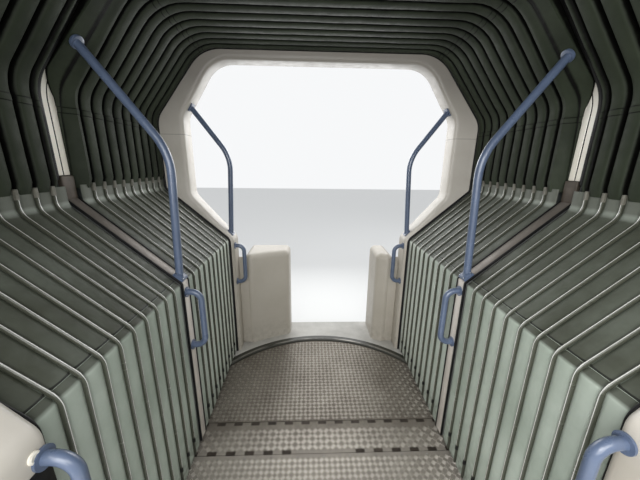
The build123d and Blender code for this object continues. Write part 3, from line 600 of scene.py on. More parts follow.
vinyl = Finish("grey_vinyl", Metallic=0.0)
flecks, walked = vinyl.use(GRAIN, 320.0), vinyl.use(CLOUDY, 4.0)
plain = vinyl.mix(walked, (186, 184, 178), (162, 160, 154))
flecked = vinyl.times(vinyl.step(flecks, 0.18, 0.10), 0.5)
vinyl.feed(Base_Color=vinyl.mix(flecked, plain, (112, 112, 112)))
vinyl.feed(Roughness=vinyl.between(walked, 0.38, 0.56))
vinyl.bump(flecks, 0.0004, 0.3)
print("tread plate, sill and vinyl")

# %% [markdown]
# The linings are glass-fibre mouldings with a satin gel coat, a little yellowed and scuffed low
# down, with painted shade below the ledge and, in a darker grey, overhead. The trim on the middle
# frame is a smoother cream plastic with the same painted shade. Rubber is nearly black, matt, with
# a grey bloom.

# %% Mouldings and rubber
NOWHERE = 9.0  # a height above the roof, for a mark that a finish doesn't have


def moulding(name, clean, aged, rough, grain_size, seam_z=NOWHERE):
    finish = Finish(name, Metallic=0.0)
    clouds, marks = finish.use(CLOUDY, 2.5), finish.use(CLOUDY, 28.0)
    # Painted shade below the ledge.
    painted_shade_below_ledge = finish.step(finish.z, LEDGE + 0.02, LEDGE - 0.10, 0.0, 0.45)
    low = finish.step(finish.z, FLOOR + 0.22, FLOOR, 0.0, 0.4)
    # Painted shade overhead, a darker grey towards the roof.
    high = finish.step(finish.z, BROW - 0.10, ROOF - 0.15, 0.0, 0.7)
    seam = finish.step(finish.off(finish.z, seam_z), 0.0008, 0.0014, 0.8, 0.0)
    base = finish.mix(finish.times(clouds, 0.7), clean, aged)
    for mask, soiled in ((painted_shade_below_ledge, (150, 142, 126)), (finish.times(marks, low), (120, 112, 100)),
                         (high, (112, 107, 100)), (seam, (60, 58, 54))):
        base = finish.mix(mask, base, soiled)
    finish.feed(Base_Color=base, Roughness=finish.between(marks, rough, rough + 0.14))
    finish.bump(finish.use(GRAIN, grain_size), 0.0003, 0.25)


moulding("white_moulding", (204, 199, 190), (186, 180, 169), 0.38, 260.0, FLOOR + 1.685)
moulding("cream_plastic", (250, 246, 234), (238, 230, 212), 0.30, 500.0)
rubber = Finish("black_rubber", Metallic=0.0, Specular_IOR_Level=0.25)
bloom = rubber.use(CLOUDY, 11.0)
rubber.feed(Base_Color=rubber.mix(rubber.times(bloom, 0.5), (14, 14, 15), (34, 33, 32)))
rubber.feed(Roughness=rubber.between(bloom, 0.42, 0.62))
rubber.bump(rubber.use(GRAIN, 700.0), 0.0003, 0.3)
print("mouldings and rubber")

# %% [markdown]
# Bellows cloth is polyester fabric coated with grey-green rubber on both sides. Fine threads show
# through the coating. Dust lies on the slopes, and painted shade darkens the slopes of the lower
# cloth as well. Grime and painted shade darken the clamped edges, the sewn laps are drawn as dark
# lines, and the folds near the floor are scuffed. The lower cloth has painted shade above the
# shoulder and painted light towards the rear. A row of stitches runs along each edge.

# %% Bellows cloth
BAND_WIDTH = 0.1274  # of an upper band, from edge to edge
LAP_TONE, STITCH_IN, STITCHES = (12, 12, 10), 0.004, 1050.0


def bellows_cloth(name, light, dark, dust_and_shade_tone, width, laps=(), painted_shade_above=NOWHERE, edge=0.22,
                  margins=(0.0, 0.014), grime_and_shade_tone=(44, 44, 37), rear_painted_light=0.0, gloss=0.3):
    """Coated cloth of this width. The darkening along its edges, grime and painted shade, starts to
    fade at the first of the margins and ends at the second; laps and painted_shade_above are
    heights, and rear_painted_light says how much paler the rear end of the bellows is painted, as
    painted light."""
    cloth = Finish(name, Metallic=0.0, Specular_IOR_Level=gloss)
    tree = cloth.tree
    where, u, v = cloth.on_cloth()
    clouds, fine = cloth.use(CLOUDY, 3.2), cloth.use(CLOUDY, 34.0)
    base = cloth.mix(clouds, light, dark)
    # Painted light: the cloth turns paler from the middle frame to the rear end, as if lit from the
    # rear.
    base = cloth.mix(cloth.step(cloth.y, AXIS_Y, REAR_END, 0.0, rear_painted_light), base, (200, 207, 196))
    normal = cloth.add("ShaderNodeNewGeometry").outputs["Normal"]
    # Dust on upward-facing parts; on the lower cloth its dark tone is also painted shade on the
    # slopes.
    dust_and_shade_mask = cloth.step(cloth.add("ShaderNodeSeparateXYZ", i0=normal).outputs["Z"], 0.25, 0.62)
    base = cloth.mix(cloth.times(dust_and_shade_mask, cloth.between(clouds, 0.84, 0.99)), base, dust_and_shade_tone)
    # Grime and painted shade along the edges: in the dips beside the hoops, and near black in the
    # grooves of the upper cloth.
    margin = maths(tree, "MAXIMUM", cloth.step(v, *margins, 1.0, 0.0),
                   cloth.step(v, width - margins[1], width - margins[0]))
    edge_grime_and_shade = cloth.times(margin, cloth.between(fine, edge, edge + 0.4))
    base = cloth.mix(edge_grime_and_shade, base, grime_and_shade_tone)
    low = cloth.step(cloth.z, FLOOR + 0.22, FLOOR + 0.02, 0.0, 0.75)
    base = cloth.mix(cloth.times(low, fine), base, (66, 62, 54))
    # Painted shade above a height: on the lower cloth, above the shoulder.
    base = cloth.mix(cloth.step(cloth.z, painted_shade_above, painted_shade_above + 0.035, 0.0, 0.8), base, (66, 66, 56))
    # Dark lines along the sewn laps, and along the laps on the roof.
    for level in laps:
        line = cloth.step(cloth.off(cloth.z, level), 0.0012, 0.0026, 0.85, 0.0)
        base = cloth.mix(line, base, LAP_TONE)
    if laps:
        roof_lap = cloth.off(maths(tree, "ABSOLUTE", cloth.x), ROOF_LAP)
        line = cloth.step(cloth.off(roof_lap, 0.011), 0.0014, 0.0028, 0.85, 0.0)
        on_roof = cloth.step(cloth.z, ROOF - 0.08, ROOF - 0.07)
        base = cloth.mix(cloth.times(line, on_roof), base, LAP_TONE)
    cloth.feed(Base_Color=base, Roughness=cloth.between(fine, 0.46, 0.62))
    inset = margins[1] + STITCH_IN
    seams = maths(tree, "MAXIMUM", *(maths(tree, "LESS_THAN", cloth.off(v, place), 0.0009)
                                     for place in (inset, width - inset)))
    stitch = maths(tree, "GREATER_THAN", maths(tree, "SINE", cloth.times(u, STITCHES)), -0.2)
    threads = cloth.times(cloth.use(WEAVE, 2600.0, where), 0.35)
    height = maths(tree, "ADD", threads, cloth.times(seams, stitch))
    cloth.bump(maths(tree, "ADD", height, cloth.times(clouds, 1.2)), 0.0006, 0.4)


bellows_cloth("lower_cloth", (172, 181, 170), (148, 158, 146), (57, 59, 48), 0.0725,
              (up_slope(0.0305)[1],), SHOULDER - 0.015, 0.15, rear_painted_light=0.95)
bellows_cloth("upper_cloth", (54, 60, 48), (40, 45, 36), (45, 50, 40), BAND_WIDTH,
              (SEAM_Z - 0.0112, SEAM_Z + 0.0112), edge=0.9, margins=(0.028, 0.038),
              grime_and_shade_tone=(10, 10, 8), gloss=0.1)
bellows_cloth("outer_cloth", (74, 78, 77), (58, 62, 61), (96, 94, 86), 0.236)
FINISHES["outer_fabric"] = FINISHES["outer_cloth"]
FINISHES["inner_fabric"] = FINISHES["lower_cloth"]
print("three cloths")

# %% [markdown]
# Every CAD node takes the finish of its own slot. The nodes that new pieces stand for are hidden
# later, where those pieces are made.

# %% Finish the CAD nodes
for part in frame["record"]["subparts"]:
    for holder in frame["nodes"][part["node"]].material_slots:
        holder.material = FINISHES[part["material_slot"]]

# %% [markdown]
# ## The bellows
# Twenty folds hang between the portals, the hoops and the middle frame. Each station also lists the
# share of the bend that the cloth has taken up there, which the folds don't use. A slow noise makes
# the cloth a little uneven, and its seed is fixed, so that each run gives the same cloth.

# %% Stations and their share of the bend
STATIONS = [(FRONT_END, 0.0, "front_end_frame")]
STATIONS += [(HOOPS[i], i / 20, f"hoop_{i:02d}") for i in range(1, 10)]
STATIONS += [(MIDDLE_NEAR, 0.5, "middle_frame"), (MIDDLE_FAR, 0.5, "middle_frame")]
STATIONS += [(HOOPS[i], i / 20, f"hoop_{i:02d}") for i in range(11, 20)]
STATIONS += [(REAR_END, 1.0, "rear_end_frame")]
FOLDS = [(i, STATIONS[i], STATIONS[i + 1]) for i in range(len(STATIONS) - 1) if i != 10]
noise.seed_set(1)
THIN_CLOTH, OUTER_CLOTH = 0.0014, 0.0016


def bends(made):
    """Bakes a fold's placement into its mesh."""
    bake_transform(made)


def swept_rows(plan, profile, step=0.10, arc=6):
    """Rows of points: the outline moved out, at each place along the bus in the profile."""
    return [[Vector((p.x, y(p.x, p.y) if callable(y) else y, p.y))
             for p in walk(plan, out, step, arc)] for y, out in profile]


def length_of(points):
    return sum((b - a).length for a, b in zip(points, points[1:]))


def ruffled(bm, amount):
    """Slow unevenness, as cloth under uneven pull has it."""
    for vert in bm.verts:
        shift = noise.noise_vector(vert.co * 9.0)
        vert.co += Vector((shift.x, shift.y * 0.35, shift.z)) * amount


def hang(name, plan, profile, slot, step, ruffle, thick=THIN_CLOTH, two_sides=False,
         ends_at=None, finish=None):
    """One strip of cloth between two stations, given its thickness."""
    rows = swept_rows(plan, profile, step)
    long = length_of(rows[len(rows) // 2])
    bm = sweep(rows, ends_at=ends_at)
    if two_sides:
        mirrored(bm)
        long *= 2
    ruffled(bm, ruffle)
    bmesh.ops.recalc_face_normals(bm, faces=bm.faces)
    bmesh.ops.solidify(bm, geom=bm.faces[:], thickness=thick)
    made = piece(name, bm, slot, finish=finish)
    bends(made)
    return made


print(len(FOLDS), "folds between", len(STATIONS), "stations")

# %% [markdown]
# The outer fold is one strip of cloth clamped in two neighbouring hoops and standing out between
# them in a rounded wave. It reaches from the skirt below the floor right over the roof.

# %% Outer folds
CLAMP = 0.0045  # from the middle of a hoop to the cloth beside it
WAVE = [(0.00, 0.036), (0.09, 0.041), (0.20, 0.074), (0.32, 0.110), (0.40, 0.133), (0.45, 0.143),
        (0.50, 0.147)]
outer_folds = []
for number, near, far in FOLDS:
    start, end = near[0] + CLAMP, far[0] - CLAMP
    half = [(start + t * (end - start), out) for t, out in WAVE]
    profile = half + [(start + end - y, out) for y, out in reversed(half[:-1])]
    outer_folds.append(hang(f"outer_fold_{number:02d}", ARCH, profile, "outer_fabric",
                            0.08, 0.0022, OUTER_CLOTH))
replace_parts(outer_folds[0], "outer_bellows_front")
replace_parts(outer_folds[-1], "outer_bellows_rear")
print(len(outer_folds), "outer folds")

# %% [markdown]
# Inside, the lower walls are flat strips of paler cloth, set a little behind the bright edges of
# the hoops and dipping beside them, where the cloth is clamped. They run up the wall, over the
# ledge, along the slope and up again behind the shoulder.

# %% Lower inner bands
DIP = [(0.0, 0.0115), (0.0016, 0.0088), (0.006, 0.0070), (0.013, 0.0056), (0.024, 0.0050)]
lower_bands = []
for number, near, far in FOLDS:
    a, b = near[0] + CLAMP, far[0] - CLAMP
    profile = [(a + d, out) for d, out in DIP] + [((a + b) / 2, 0.0046)]
    profile += [(b - d, out) for d, out in reversed(DIP)]
    lower_bands.append(hang(f"lower_band_{number:02d}", LOWER, profile, "inner_fabric",
                            0.07, 0.0008, two_sides=True))
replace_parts(lower_bands[0], "inner_bellows_front")
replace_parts(lower_bands[-1], "inner_bellows_rear")
print(len(lower_bands), "lower bands")

# %% [markdown]
# Above the shoulder the inner bands are darker and fuller. Their edges roll back into a narrow
# black groove at each hoop. Beside the middle frame the rules change with height: the first band
# behind it starts at the trim strip and comes forward as it rises, hiding the strip's head. Plain
# functions of the place on the outline say so.

# %% Rules for the bands beside the middle frame
ROLL = [(0.0092, 0.030), (0.0094, 0.010), (0.0101, 0.0005), (0.0125, -0.0055), (0.0180, -0.0086),
        (0.027, -0.0098)]
BACK = [(0.0092, 0.032), (0.0096, 0.018), (0.0110, 0.009), (0.0145, 0.004), (0.0205, 0.0015),
        (0.0265, 0.0018), (0.034, 0.006), (0.041, 0.013), (0.047, 0.024), (0.050, 0.040)]


def rise(z, low, high):
    return max(0.0, min(1.0, (z - low) / (high - low)))


def strip_side(x, z):
    """How far out the band lies beside the trim strip: at its face low down, flush above."""
    return 0.036 - 0.044 * rise(z, FLOOR + 1.62, FLOOR + 1.88)


def hem_place(x, z):
    """Where the band's near edge runs over the trim strip as it rises."""
    return MIDDLE_FAR - 0.004 - 0.060 * rise(z, FLOOR + 1.75, FLOOR + 1.85)


def hem_out(x, z):
    """How far out that edge lies: on the strip, until the strip has ended."""
    return 0.0335 - 0.0415 * rise(z, FLOOR + 1.85, FLOOR + 1.92)


print("the hem comes", round(hem_place(0, FLOOR) - hem_place(0, ROOF), 3), "m forward")

# %% [markdown]
# Every other upper band is symmetrical between its two hoops. A sewn lap crosses all of them just
# under the brow, and comes with the outline. The last band before the middle frame has only its
# own half, and rolls back behind the rubber there.

# %% Upper inner bands
upper_bands = []
for number, near, far in FOLDS:
    a, b = near[0], far[0]
    starts, middle, ends_at = [(a + d, out) for d, out in ROLL], (a + b) / 2, None
    if number == 11:
        starts = [(a + 0.001, strip_side),
                  (a + 0.012, lambda x, z: strip_side(x, z) * 0.92 - 0.001),
                  (a + 0.027, lambda x, z: strip_side(x, z) * 0.45 - 0.006)]
        middle, ends_at = a + 0.0405, BAND_WIDTH
    profile = starts + [(middle, -0.0108)] + [(b - d, out) for d, out in reversed(ROLL)]
    if number == 9:
        profile = [(a + d, out) for d, out in BACK]
    upper_bands.append(hang(f"upper_band_{number:02d}", UPPER, profile, "inner_fabric",
                            0.08, 0.0016, ends_at=ends_at, finish="upper_cloth"))
print(len(upper_bands), "upper bands")

# %% [markdown]
# Over the middle frame the cloth doesn't fold. It is a fixed flap that ends in a hem, so it rides
# on that frame alone. Its width grows as it rises.

# %% Band over the middle frame
rows = swept_rows(UPPER, [
    (hem_place, 0.0362), (lambda x, z: hem_place(x, z) + 0.0008, hem_out),
    (lambda x, z: (hem_place(x, z) + MIDDLE_FAR) / 2,
     lambda x, z: (hem_out(x, z) + strip_side(x, z)) / 2 - 0.001),
    (MIDDLE_FAR + 0.0005, strip_side)], 0.04)
bm = sweep(rows)
bmesh.ops.solidify(bm, geom=bm.faces[:], thickness=THIN_CLOTH)
middle_band = piece("middle_band", bm, "inner_fabric", "middle", "upper_cloth")

# %% [markdown]
# The bright line on each hoop is the nose of its section, rounded so that nobody is cut by it. It
# is swept along the lower wall and ends in a black cap above the floor, and in a grey tab at the
# top, where the darker cloth begins.

# %% Ridges with their caps and tabs
NOSE = [(-0.0045, 0.013), (-0.0047, 0.003), (-0.0040, -0.0005), (-0.0022, -0.0027), (0.0, -0.0034),
        (0.0022, -0.0027), (0.0040, -0.0005), (0.0047, 0.003), (0.0045, 0.013)]
CAP = [row(AISLE, FLOOR + 0.112), row(AISLE, FLOOR + 0.136)]
TAB = [row(WALL, TAB_TOP - 0.026), row(WALL, TAB_TOP + 0.010)]
for i, y in HOOPS.items():
    for label, plan, grown, slot, finish in (
            ("ridge", RIDGE, 0.0, "hoop_aluminium", "ridge_painted_highlight"),
            ("cap", CAP, 0.0016, "black_rubber", None),
            ("tab", TAB, 0.0022, "black_rubber", "tab_grey")):
        profile = [(y + d * (1 + grown * 120), out - grown) for d, out in NOSE]
        bm = mirrored(sweep(swept_rows(plan, profile, 0.15, 8), closed=True))
        piece(f"{label}_{i:02d}", bm, slot, f"hoop_{i:02d}", finish, 50)
print(len(HOOPS), "ridges with caps and tabs")

# %% [markdown]
# ## The middle frame
# Thick black rubber closes the near side of the middle frame above the shoulder. The pale trim has
# two ribs with a dark groove between them. All of it is swept, like the cloth, but closed.

# %% Rubber and trim ribs
LIP = [(0.0, 0.060), (0.0, 0.036), (0.002, 0.0315), (0.006, 0.0300), (0.017, 0.0300),
       (0.021, 0.0315), (0.023, 0.036), (0.023, 0.060)]
plan = both([row(WALL, TAB_TOP + 0.030), *OVERHEAD])
profile = [(MIDDLE_NEAR - 0.018 + d, out) for d, out in LIP]
bm = sweep(swept_rows(plan, profile, 0.08, 8), closed=True)
piece("middle_near_rubber", bm, "black_rubber", "middle", angle=60)

strip_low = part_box("middle_wall_strips")[0]
TRIM = [row(WALL, strip_low.z + 0.001), row(WALL, BROW, 0.150), row(WALL - 0.0494, BROW + 0.063)]
RIB_FACE, GROOVE_FACE, TRIM_BACK, RIB_ROUND = 0.0366, 0.0384, 0.0450, (0.0018, 0.0020)
trim_y = strip_low.y - 0.001
for name, y0, y1, face, slot in (
        ("trim_rib_near", trim_y, trim_y + 0.0270, RIB_FACE, "cream_plastic"),
        ("trim_rib_far", trim_y + 0.0330, MIDDLE_FAR - 0.001, RIB_FACE, "cream_plastic"),
        ("trim_groove", trim_y + 0.0250, trim_y + 0.0350, GROOVE_FACE, "black_rubber")):
    inset, drop = RIB_ROUND
    profile = [(y0, TRIM_BACK), (y0, face + drop), (y0 + inset, face), (y1 - inset, face),
               (y1, face + drop), (y1, TRIM_BACK)]
    bm = mirrored(sweep(swept_rows(TRIM, profile, 0.10, 8), closed=True))
    piece(name, bm, slot, "middle", angle=30)
print("rubber, two ribs and a groove")

# %% [markdown]
# A small block covers the joint between the trim and the cover below it; its dark brown is painted
# shade, where the cover's upper end lies in shadow. A cube with its edges rounded is enough for
# that, and the same helper makes the strips beside the side boxes.

# %% Corner blocks


def block(wide, deep, tall):
    """A block of this size with its middle at the origin."""
    bm = bmesh.new()
    bmesh.ops.create_cube(bm, size=1)
    bmesh.ops.scale(bm, vec=(wide, deep, tall), verts=bm.verts)
    return bm


def bars(low, high, rounding):
    """A bar between two corners with its edges rounded, and its mirror image."""
    bm = block(*(b - a for a, b in zip(low, high)))
    bmesh.ops.translate(bm, vec=[(a + b) / 2 for a, b in zip(low, high)], verts=bm.verts)
    rounded(bm, bm.edges[:], rounding, 3)
    return mirrored(bm)


bm = bars((1.108, MIDDLE_NEAR + 0.002, SHOULDER + 0.020),
          (1.129, MIDDLE_FAR - 0.002, strip_low.z - 0.001), 0.005)
piece("middle_corner_blocks", bm, "cover_aluminium", "middle", "block_painted_shade")
print("two corner blocks")

# %% [markdown]
# Sheet metal has folded, slightly rounded edges that catch the light. The covers, the rubber edges
# beside them and the trim are therefore copies of the CAD nodes, cleaned up and bevelled.

# %% Softened copies of sharp CAD nodes


def softened(source, width, body, slot, segments=2):
    bm = bmesh.new()
    bm.from_mesh(frame["nodes"][source].data)
    bmesh.ops.remove_doubles(bm, verts=bm.verts, dist=0.00005)
    bmesh.ops.dissolve_limit(bm, angle_limit=math.radians(2), verts=bm.verts, edges=bm.edges)
    sharp = [e for e in bm.edges if e.is_manifold and e.calc_face_angle(0) > math.radians(35)]
    rounded(bm, sharp, width, segments, clamp=True)
    made = piece("soft_" + source, bm, slot, body)
    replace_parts(made, source)


softened("middle_frame_cover", 0.0022, "middle", "cover_aluminium")
softened("middle_edge_seals", 0.0018, "middle", "black_rubber")
softened("middle_wall_strips", 0.0015, "middle", "cream_plastic")
softened("link_plate", 0.0008, "root", "tread_plate", segments=1)
print("4 softened copies")

# %% [markdown]
# Small fasteners are modelled once, with few faces, and joined into one piece as many copies. A
# copy is placed by a point and by the way it faces.

# %% Screws, bolts and copies


def screw(radius, height):
    """A domed screw head with a driving recess, standing on its base."""
    bm = bmesh.new()
    bmesh.ops.create_circle(bm, cap_ends=True, radius=radius, segments=12)
    top = bmesh.ops.extrude_face_region(bm, geom=bm.faces[:])["geom"]
    lifted = [g for g in top if isinstance(g, bmesh.types.BMVert)]
    bmesh.ops.translate(bm, vec=(0, 0, height), verts=lifted)
    top_faces = [f for f in bm.faces if all(v in lifted for v in f.verts)]
    bmesh.ops.inset_region(bm, faces=top_faces, thickness=radius * 0.3, depth=height * 0.4)
    bmesh.ops.inset_region(bm, faces=top_faces, thickness=radius * 0.25, depth=-height * 0.5)
    return bm


def hexagon(radius, height, washer=0.003):
    """A hexagon bolt head on its washer."""
    bm = bmesh.new()
    for sides, wide, low, tall in ((14, radius * 1.35, 0.0, washer), (6, radius, washer, height)):
        bmesh.ops.create_cone(bm, cap_ends=True, segments=sides, radius1=wide, radius2=wide,
                              depth=tall, matrix=Matrix.Translation((0, 0, low + tall / 2)))
    top = washer + height * 0.9
    edges = [e for e in bm.edges
             if e.calc_length() < radius * 1.1 and all(v.co.z > top for v in e.verts)]
    rounded(bm, edges, radius * 0.12, 1)
    return bm


def scatter(bm_one, places):
    """Many copies of one small mesh, each at its own place and turn."""
    small = bpy.data.meshes.new("small")
    bm_one.to_mesh(small)
    bm_one.free()
    bm = bmesh.new()
    for matrix in places:
        small.transform(matrix)
        bm.from_mesh(small)
        small.transform(matrix.inverted())
    bpy.data.meshes.remove(small)
    return bm


def facing(point, normal):
    turn = Vector(normal).to_track_quat("Z", "Y").to_matrix().to_4x4()
    return Matrix.Translation(point) @ turn


print("fasteners ready")

# %% [markdown]
# Each grab pole stands on a cast foot, a rounded plate with four screws that is painted with the
# pole. Two insets raise its boss, and it is turned to lie on the slope.

# %% Pole feet
inward = Vector((-SLOPE.y, 0, SLOPE.x))
x, z = up_slope(0.0327)
foot = Vector((x, AXIS_Y, z))
turned = Matrix(((SLOPE.x, 0, -SLOPE.y, 0), (0, 1, 0, 0), (SLOPE.y, 0, SLOPE.x, 0), (0, 0, 0, 1)))
bm = block(0.054, 0.058, 0.014)
upright = [e for e in bm.edges if abs((e.verts[0].co - e.verts[1].co).z) > 0.01]
rounded(bm, upright, 0.013, 5)
top_faces = [f for f in bm.faces if f.normal.z > 0.9]
bmesh.ops.inset_region(bm, faces=top_faces, thickness=0.004, depth=0.003)
bmesh.ops.inset_region(bm, faces=top_faces, thickness=0.010, depth=0.006)
bmesh.ops.transform(bm, matrix=Matrix.Translation(foot + inward * 0.0075) @ turned, verts=bm.verts)
piece("pole_feet", mirrored(bm), "blue_rail", "middle", angle=50)

places = []
for aside in (-0.021, 0.021):
    for reach in (-0.019, 0.019):
        spot = foot + Vector((SLOPE.x * reach, aside, SLOPE.y * reach)) + inward * 0.0165
        places.append(facing(spot, inward))
        places.append(facing((-spot.x, spot.y, spot.z), (-inward.x, 0, inward.z)))
piece("pole_foot_screws", scatter(screw(0.0042, 0.0022), places), "rod_chrome", "middle")
print("2 pole feet with", len(places), "screws")

# %% [markdown]
# The head of each pole ends in a round collar against the cloth, square to the brow's slope.

# %% Pole collars
COLLAR_AT = (0.9678, AXIS_Y, 2.1094)
brow_slope = Vector((ROOF_HALF - WALL, 0, ROOF - BROW)).normalized()
bm = bmesh.new()
bmesh.ops.create_cone(bm, cap_ends=True, segments=28, radius1=0.027, radius2=0.027, depth=0.012)
rims = [e for e in bm.edges if e.is_manifold and e.calc_face_angle(0) > 1]
rounded(bm, rims, 0.002, 2)
bmesh.ops.transform(bm, matrix=facing(COLLAR_AT, (-brow_slope.z, 0, brow_slope.x)), verts=bm.verts)
piece("pole_collars", mirrored(bm), "blue_rail", "middle")
print("2 collars")

# %% [markdown]
# ## The portals
# Each portal lining is one moulding: a flat face behind the last fold, a soft rounded edge, and a
# reveal that reaches away from the bellows. It is swept from the passage outline to the smaller
# lining outline and back, as a closed skin, and a thin rubber line seals it to the bellows.

# %% Portal linings
PORTALS = (("front", FRONT_END, -1, "root", FLOOR), ("rear", REAR_END, 1, "rear", FLOOR + 0.010))
PASSAGE = passage(FLOOR)
EDGE_ROUND, SKIN = 0.022, 0.0068
SECTION = [(PASSAGE, -0.0004, 0.0), (LINING, 0.030, 0.0)]
for k in range(1, 6):
    angle = math.radians(90 * k / 5)
    SECTION.append((LINING, EDGE_ROUND - EDGE_ROUND * math.sin(angle),
                    EDGE_ROUND - EDGE_ROUND * math.cos(angle)))
SECTION += [
    (LINING, 0.0, 0.124), (LINING, 0.002, 0.129), (LINING, 0.006, 0.130), (LINING, 0.007, 0.126),
    (LINING, 0.007, 0.024), (LINING, 0.036, SKIN), (PASSAGE, -0.0073, SKIN),
    (PASSAGE, -0.0073, 0.060), (PASSAGE, -0.0004, 0.060)]
SEAL = [(0.0, 0.004), (0.0, -0.006), (0.0015, -0.0085), (0.005, -0.0095), (0.0085, -0.0085),
        (0.010, -0.006), (0.010, 0.004)]


def lining_row(plan, out, y, low):
    """One row of a lining: an outline that starts and ends at the floor of this portal."""
    plan = [row(plan[0][0], low), *plan[1:-1], row(plan[-1][0], low)]
    return [Vector((p.x, y, p.y)) for p in walk(plan, out, 0.12, 8, PASSAGE)]


for name, y, way, body, low in PORTALS:
    bm = sweep([lining_row(plan, out, y + way * at, low) for plan, out, at in SECTION], closed=True)
    made = piece(f"{name}_lining_moulding", bm, "white_moulding", body)
    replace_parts(made, f"{name}_portal_lining")
    profile = [(y - way * (0.0095 - d), out) for d, out in SEAL]
    bm = sweep(swept_rows(passage(low), profile, 0.12, 8), closed=True)
    piece(f"{name}_edge_rubber", bm, "black_rubber", body, angle=60)
bm = bars((0.572, 1.710, 0.176), (0.6455, 1.719, 0.950), 0.002)
piece("box_filler_strips", bm, "white_moulding", "rear")
print("2 linings with their seals and fillers")

# %% [markdown]
# On the left reveal of the front portal there is a black pad with a round cream cap above it.

# %% Pad and cap on the front portal
REVEAL_X, PAD_Y, PAD_TOP, PAD_HEIGHT = -0.640, 0.020, FLOOR + 0.890, 0.42
bm = block(0.004, 0.052, PAD_HEIGHT)
corners = [e for e in bm.edges if abs((e.verts[0].co - e.verts[1].co).x) > 0.003]
rounded(bm, corners, 0.010, 5)
rounded(bm, [e for e in bm.edges if all(v.co.x > 0.001 for v in e.verts)], 0.0015, 2)
bmesh.ops.translate(bm, vec=(REVEAL_X + 0.0018, PAD_Y, PAD_TOP - PAD_HEIGHT / 2), verts=bm.verts)
piece("portal_pad", bm, "black_rubber", "root")
bm = scatter(screw(0.013, 0.004), [facing((REVEAL_X, PAD_Y, PAD_TOP + 0.035), (1, 0, 0))])
piece("portal_cap", bm, "cream_plastic", "root")
print("pad and cap")

# %% [markdown]
# ## The floor
# Tread lugs are real raised bars, because they catch the light at this low angle. The big plates
# carry groups of three short bars that alternate in direction, and the link plate between the
# hinges has groups of four longer ones.

# %% Tread lugs


def lug(length, width, height):
    """A long bar with pointed ends and a smaller top."""
    bm = bmesh.new()
    bmesh.ops.create_circle(bm, cap_ends=True, radius=0.5, segments=6)
    bmesh.ops.scale(bm, vec=(length, width * 1.15, 1), verts=bm.verts)
    made = bmesh.ops.extrude_face_region(bm, geom=bm.faces[:])["geom"]
    top = [g for g in made if isinstance(g, bmesh.types.BMVert)]
    bmesh.ops.translate(bm, vec=(0, 0, height), verts=top)
    bmesh.ops.scale(bm, vec=(0.86, 0.55, 1), verts=top)
    base = [f for f in bm.faces if all(v.co.z < 1e-6 for v in f.verts)]
    bmesh.ops.delete(bm, geom=base, context="FACES_ONLY")
    return bm


def lug_places(half, y0, y1, keep, pitch, bars_in_group, spacing):
    """Places of groups of bars, turned one way and the other in turn."""
    places = []
    for j in range(int((y1 - y0) / pitch)):
        for i in range(int((half + half) / pitch)):
            x = -half + pitch / 2 + i * pitch
            y = y0 + pitch / 2 + j * pitch
            angle = math.radians(45 if (i + j) % 2 else -45)
            for k in range(bars_in_group):
                shift = (k - (bars_in_group - 1) / 2) * spacing
                spot = Vector((x - math.sin(angle) * shift, y + math.cos(angle) * shift, FLOOR))
                if keep(spot):
                    places.append(Matrix.Translation(spot) @ Matrix.Rotation(angle, 4, "Z"))
    return places


front_low, front_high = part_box("front_floor_plate")
turn_low, turn_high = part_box("turning_plate")
DISC = turn_high.y - AXIS_Y
SHORT, LONG = (0.0225, 0.0050, 0.0018), (0.0262, 0.0046, 0.0018)  # length, width and height
THREES, FOURS = (0.0280, 3, 0.0074), (0.0325, 4, 0.0070)  # pitch, bars and their spacing


def before_seam(spot):
    return spot.y < front_high.y - 0.008


def on_disc(spot):
    return turn_low.y + 0.010 < spot.y and math.hypot(spot.x, spot.y - AXIS_Y) < DISC - 0.012


for name, half, y0, y1, keep, group, size in (
        ("front_plate_lugs", 0.755, FRONT_END + 0.004, front_high.y, before_seam, THREES, SHORT),
        ("front_tongue_lugs", 0.624, front_low.y, FRONT_END, bool, THREES, SHORT),
        ("turning_plate_lugs", 0.899, turn_low.y, turn_high.y, on_disc, THREES, SHORT),
        ("link_plate_lugs", 0.742, AXIS_Y - 0.0812, AXIS_Y + 0.0813, bool, FOURS, LONG)):
    places = lug_places(half, y0, y1, keep, *group)
    piece(name, scatter(lug(*size), places), "tread_plate", "root", angle=20)
    print(name, len(places), "bars")

# %% [markdown]
# The curved sill is a spun section: it starts as a few vertices round its rounded top, and spins
# about the turntable's axis. It is then cut off at the floor's edges, like the CAD node.

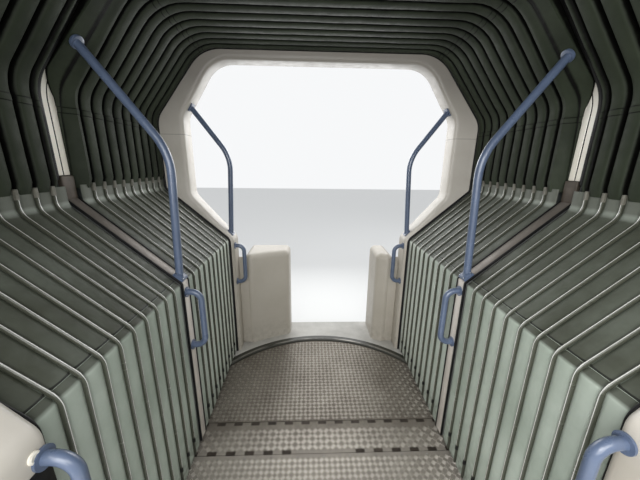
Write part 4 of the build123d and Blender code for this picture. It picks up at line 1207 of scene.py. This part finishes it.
# %% Curved sill
SILL_SECTION = [
    (0.0, -0.010), (0.0, 0.006), (0.002, 0.011), (0.007, 0.0138), (0.016, 0.0142), (0.028, 0.0132),
    (0.046, 0.0118), (0.057, 0.0112), (0.058, 0.0102), (0.058, 0.008), (0.040, 0.006),
    (0.038, -0.010)]
SILL_HALF, SILL_TURN = 0.7595, math.radians(120)
inner_radius = DISC + 0.005
axis = (0, AXIS_Y, 0)
bm = bmesh.new()
verts = [bm.verts.new((0, AXIS_Y + inner_radius + out, FLOOR + up)) for out, up in SILL_SECTION]
edges = [bm.edges.new(pair) for pair in zip(verts, verts[1:] + verts[:1])]
bmesh.ops.rotate(bm, cent=axis, matrix=Matrix.Rotation(-SILL_TURN / 2, 3, "Z"), verts=verts)
bmesh.ops.spin(bm, geom=edges, cent=axis, axis=(0, 0, 1), angle=SILL_TURN, steps=72,
               use_merge=False, dvec=(0, 0, 0))
for side in (-1, 1):
    bmesh.ops.bisect_plane(bm, geom=bm.verts[:] + bm.edges[:] + bm.faces[:], clear_outer=True,
                           plane_co=(side * SILL_HALF, 0, 0), plane_no=(side, 0, 0))
bmesh.ops.holes_fill(bm, edges=[e for e in bm.edges if e.is_boundary])
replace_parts(piece("sill_nosing", bm, "dark_sill", "rear"), "rear_sill")
print("sill radius", round(inner_radius, 3))

# %% [markdown]
# Small fasteners finish the floor and the joint below it: countersunk screws along the seams, and
# hexagon bolts on the flanges and on the two races of the slewing ring.

# %% Fasteners
places = [facing((-0.70 + 0.14 * k, y, FLOOR - 0.0012), (0, 0, 1)) for k in range(11)
          for y in (front_high.y - 0.016, turn_low.y + 0.018)]
piece("seam_screws", scatter(screw(0.0055, 0.0020), places), "race_steel", "root")

FLANGE_THICK, BOLT_PITCH, BOLT_RISE = 0.018, 0.150, 0.055
for name, y, way, body in (("front_flange_bolts", 0.0, -1, "root"),
                           ("rear_flange_bolts", REAR_END + 0.060, 1, "rear")):
    places = [facing(((k - 3) * BOLT_PITCH, y - way * FLANGE_THICK, z), (0, -way, 0))
              for k in range(7) for z in (-BOLT_RISE, BOLT_RISE)]
    piece(name, scatter(hexagon(0.0135, 0.010), places), "race_steel", body)

for label, radius, body in (("outer", 0.350, "rear"), ("inner", 0.285, "root")):
    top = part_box(f"ring_{label}_race")[1].z
    places = [facing((radius * math.cos(a), AXIS_Y + radius * math.sin(a), top), (0, 0, 1))
              for a in (math.radians(15 * k) for k in range(24))]
    piece(f"{label}_race_bolts", scatter(hexagon(0.009, 0.006), places), "race_steel", body)
print("fasteners set")
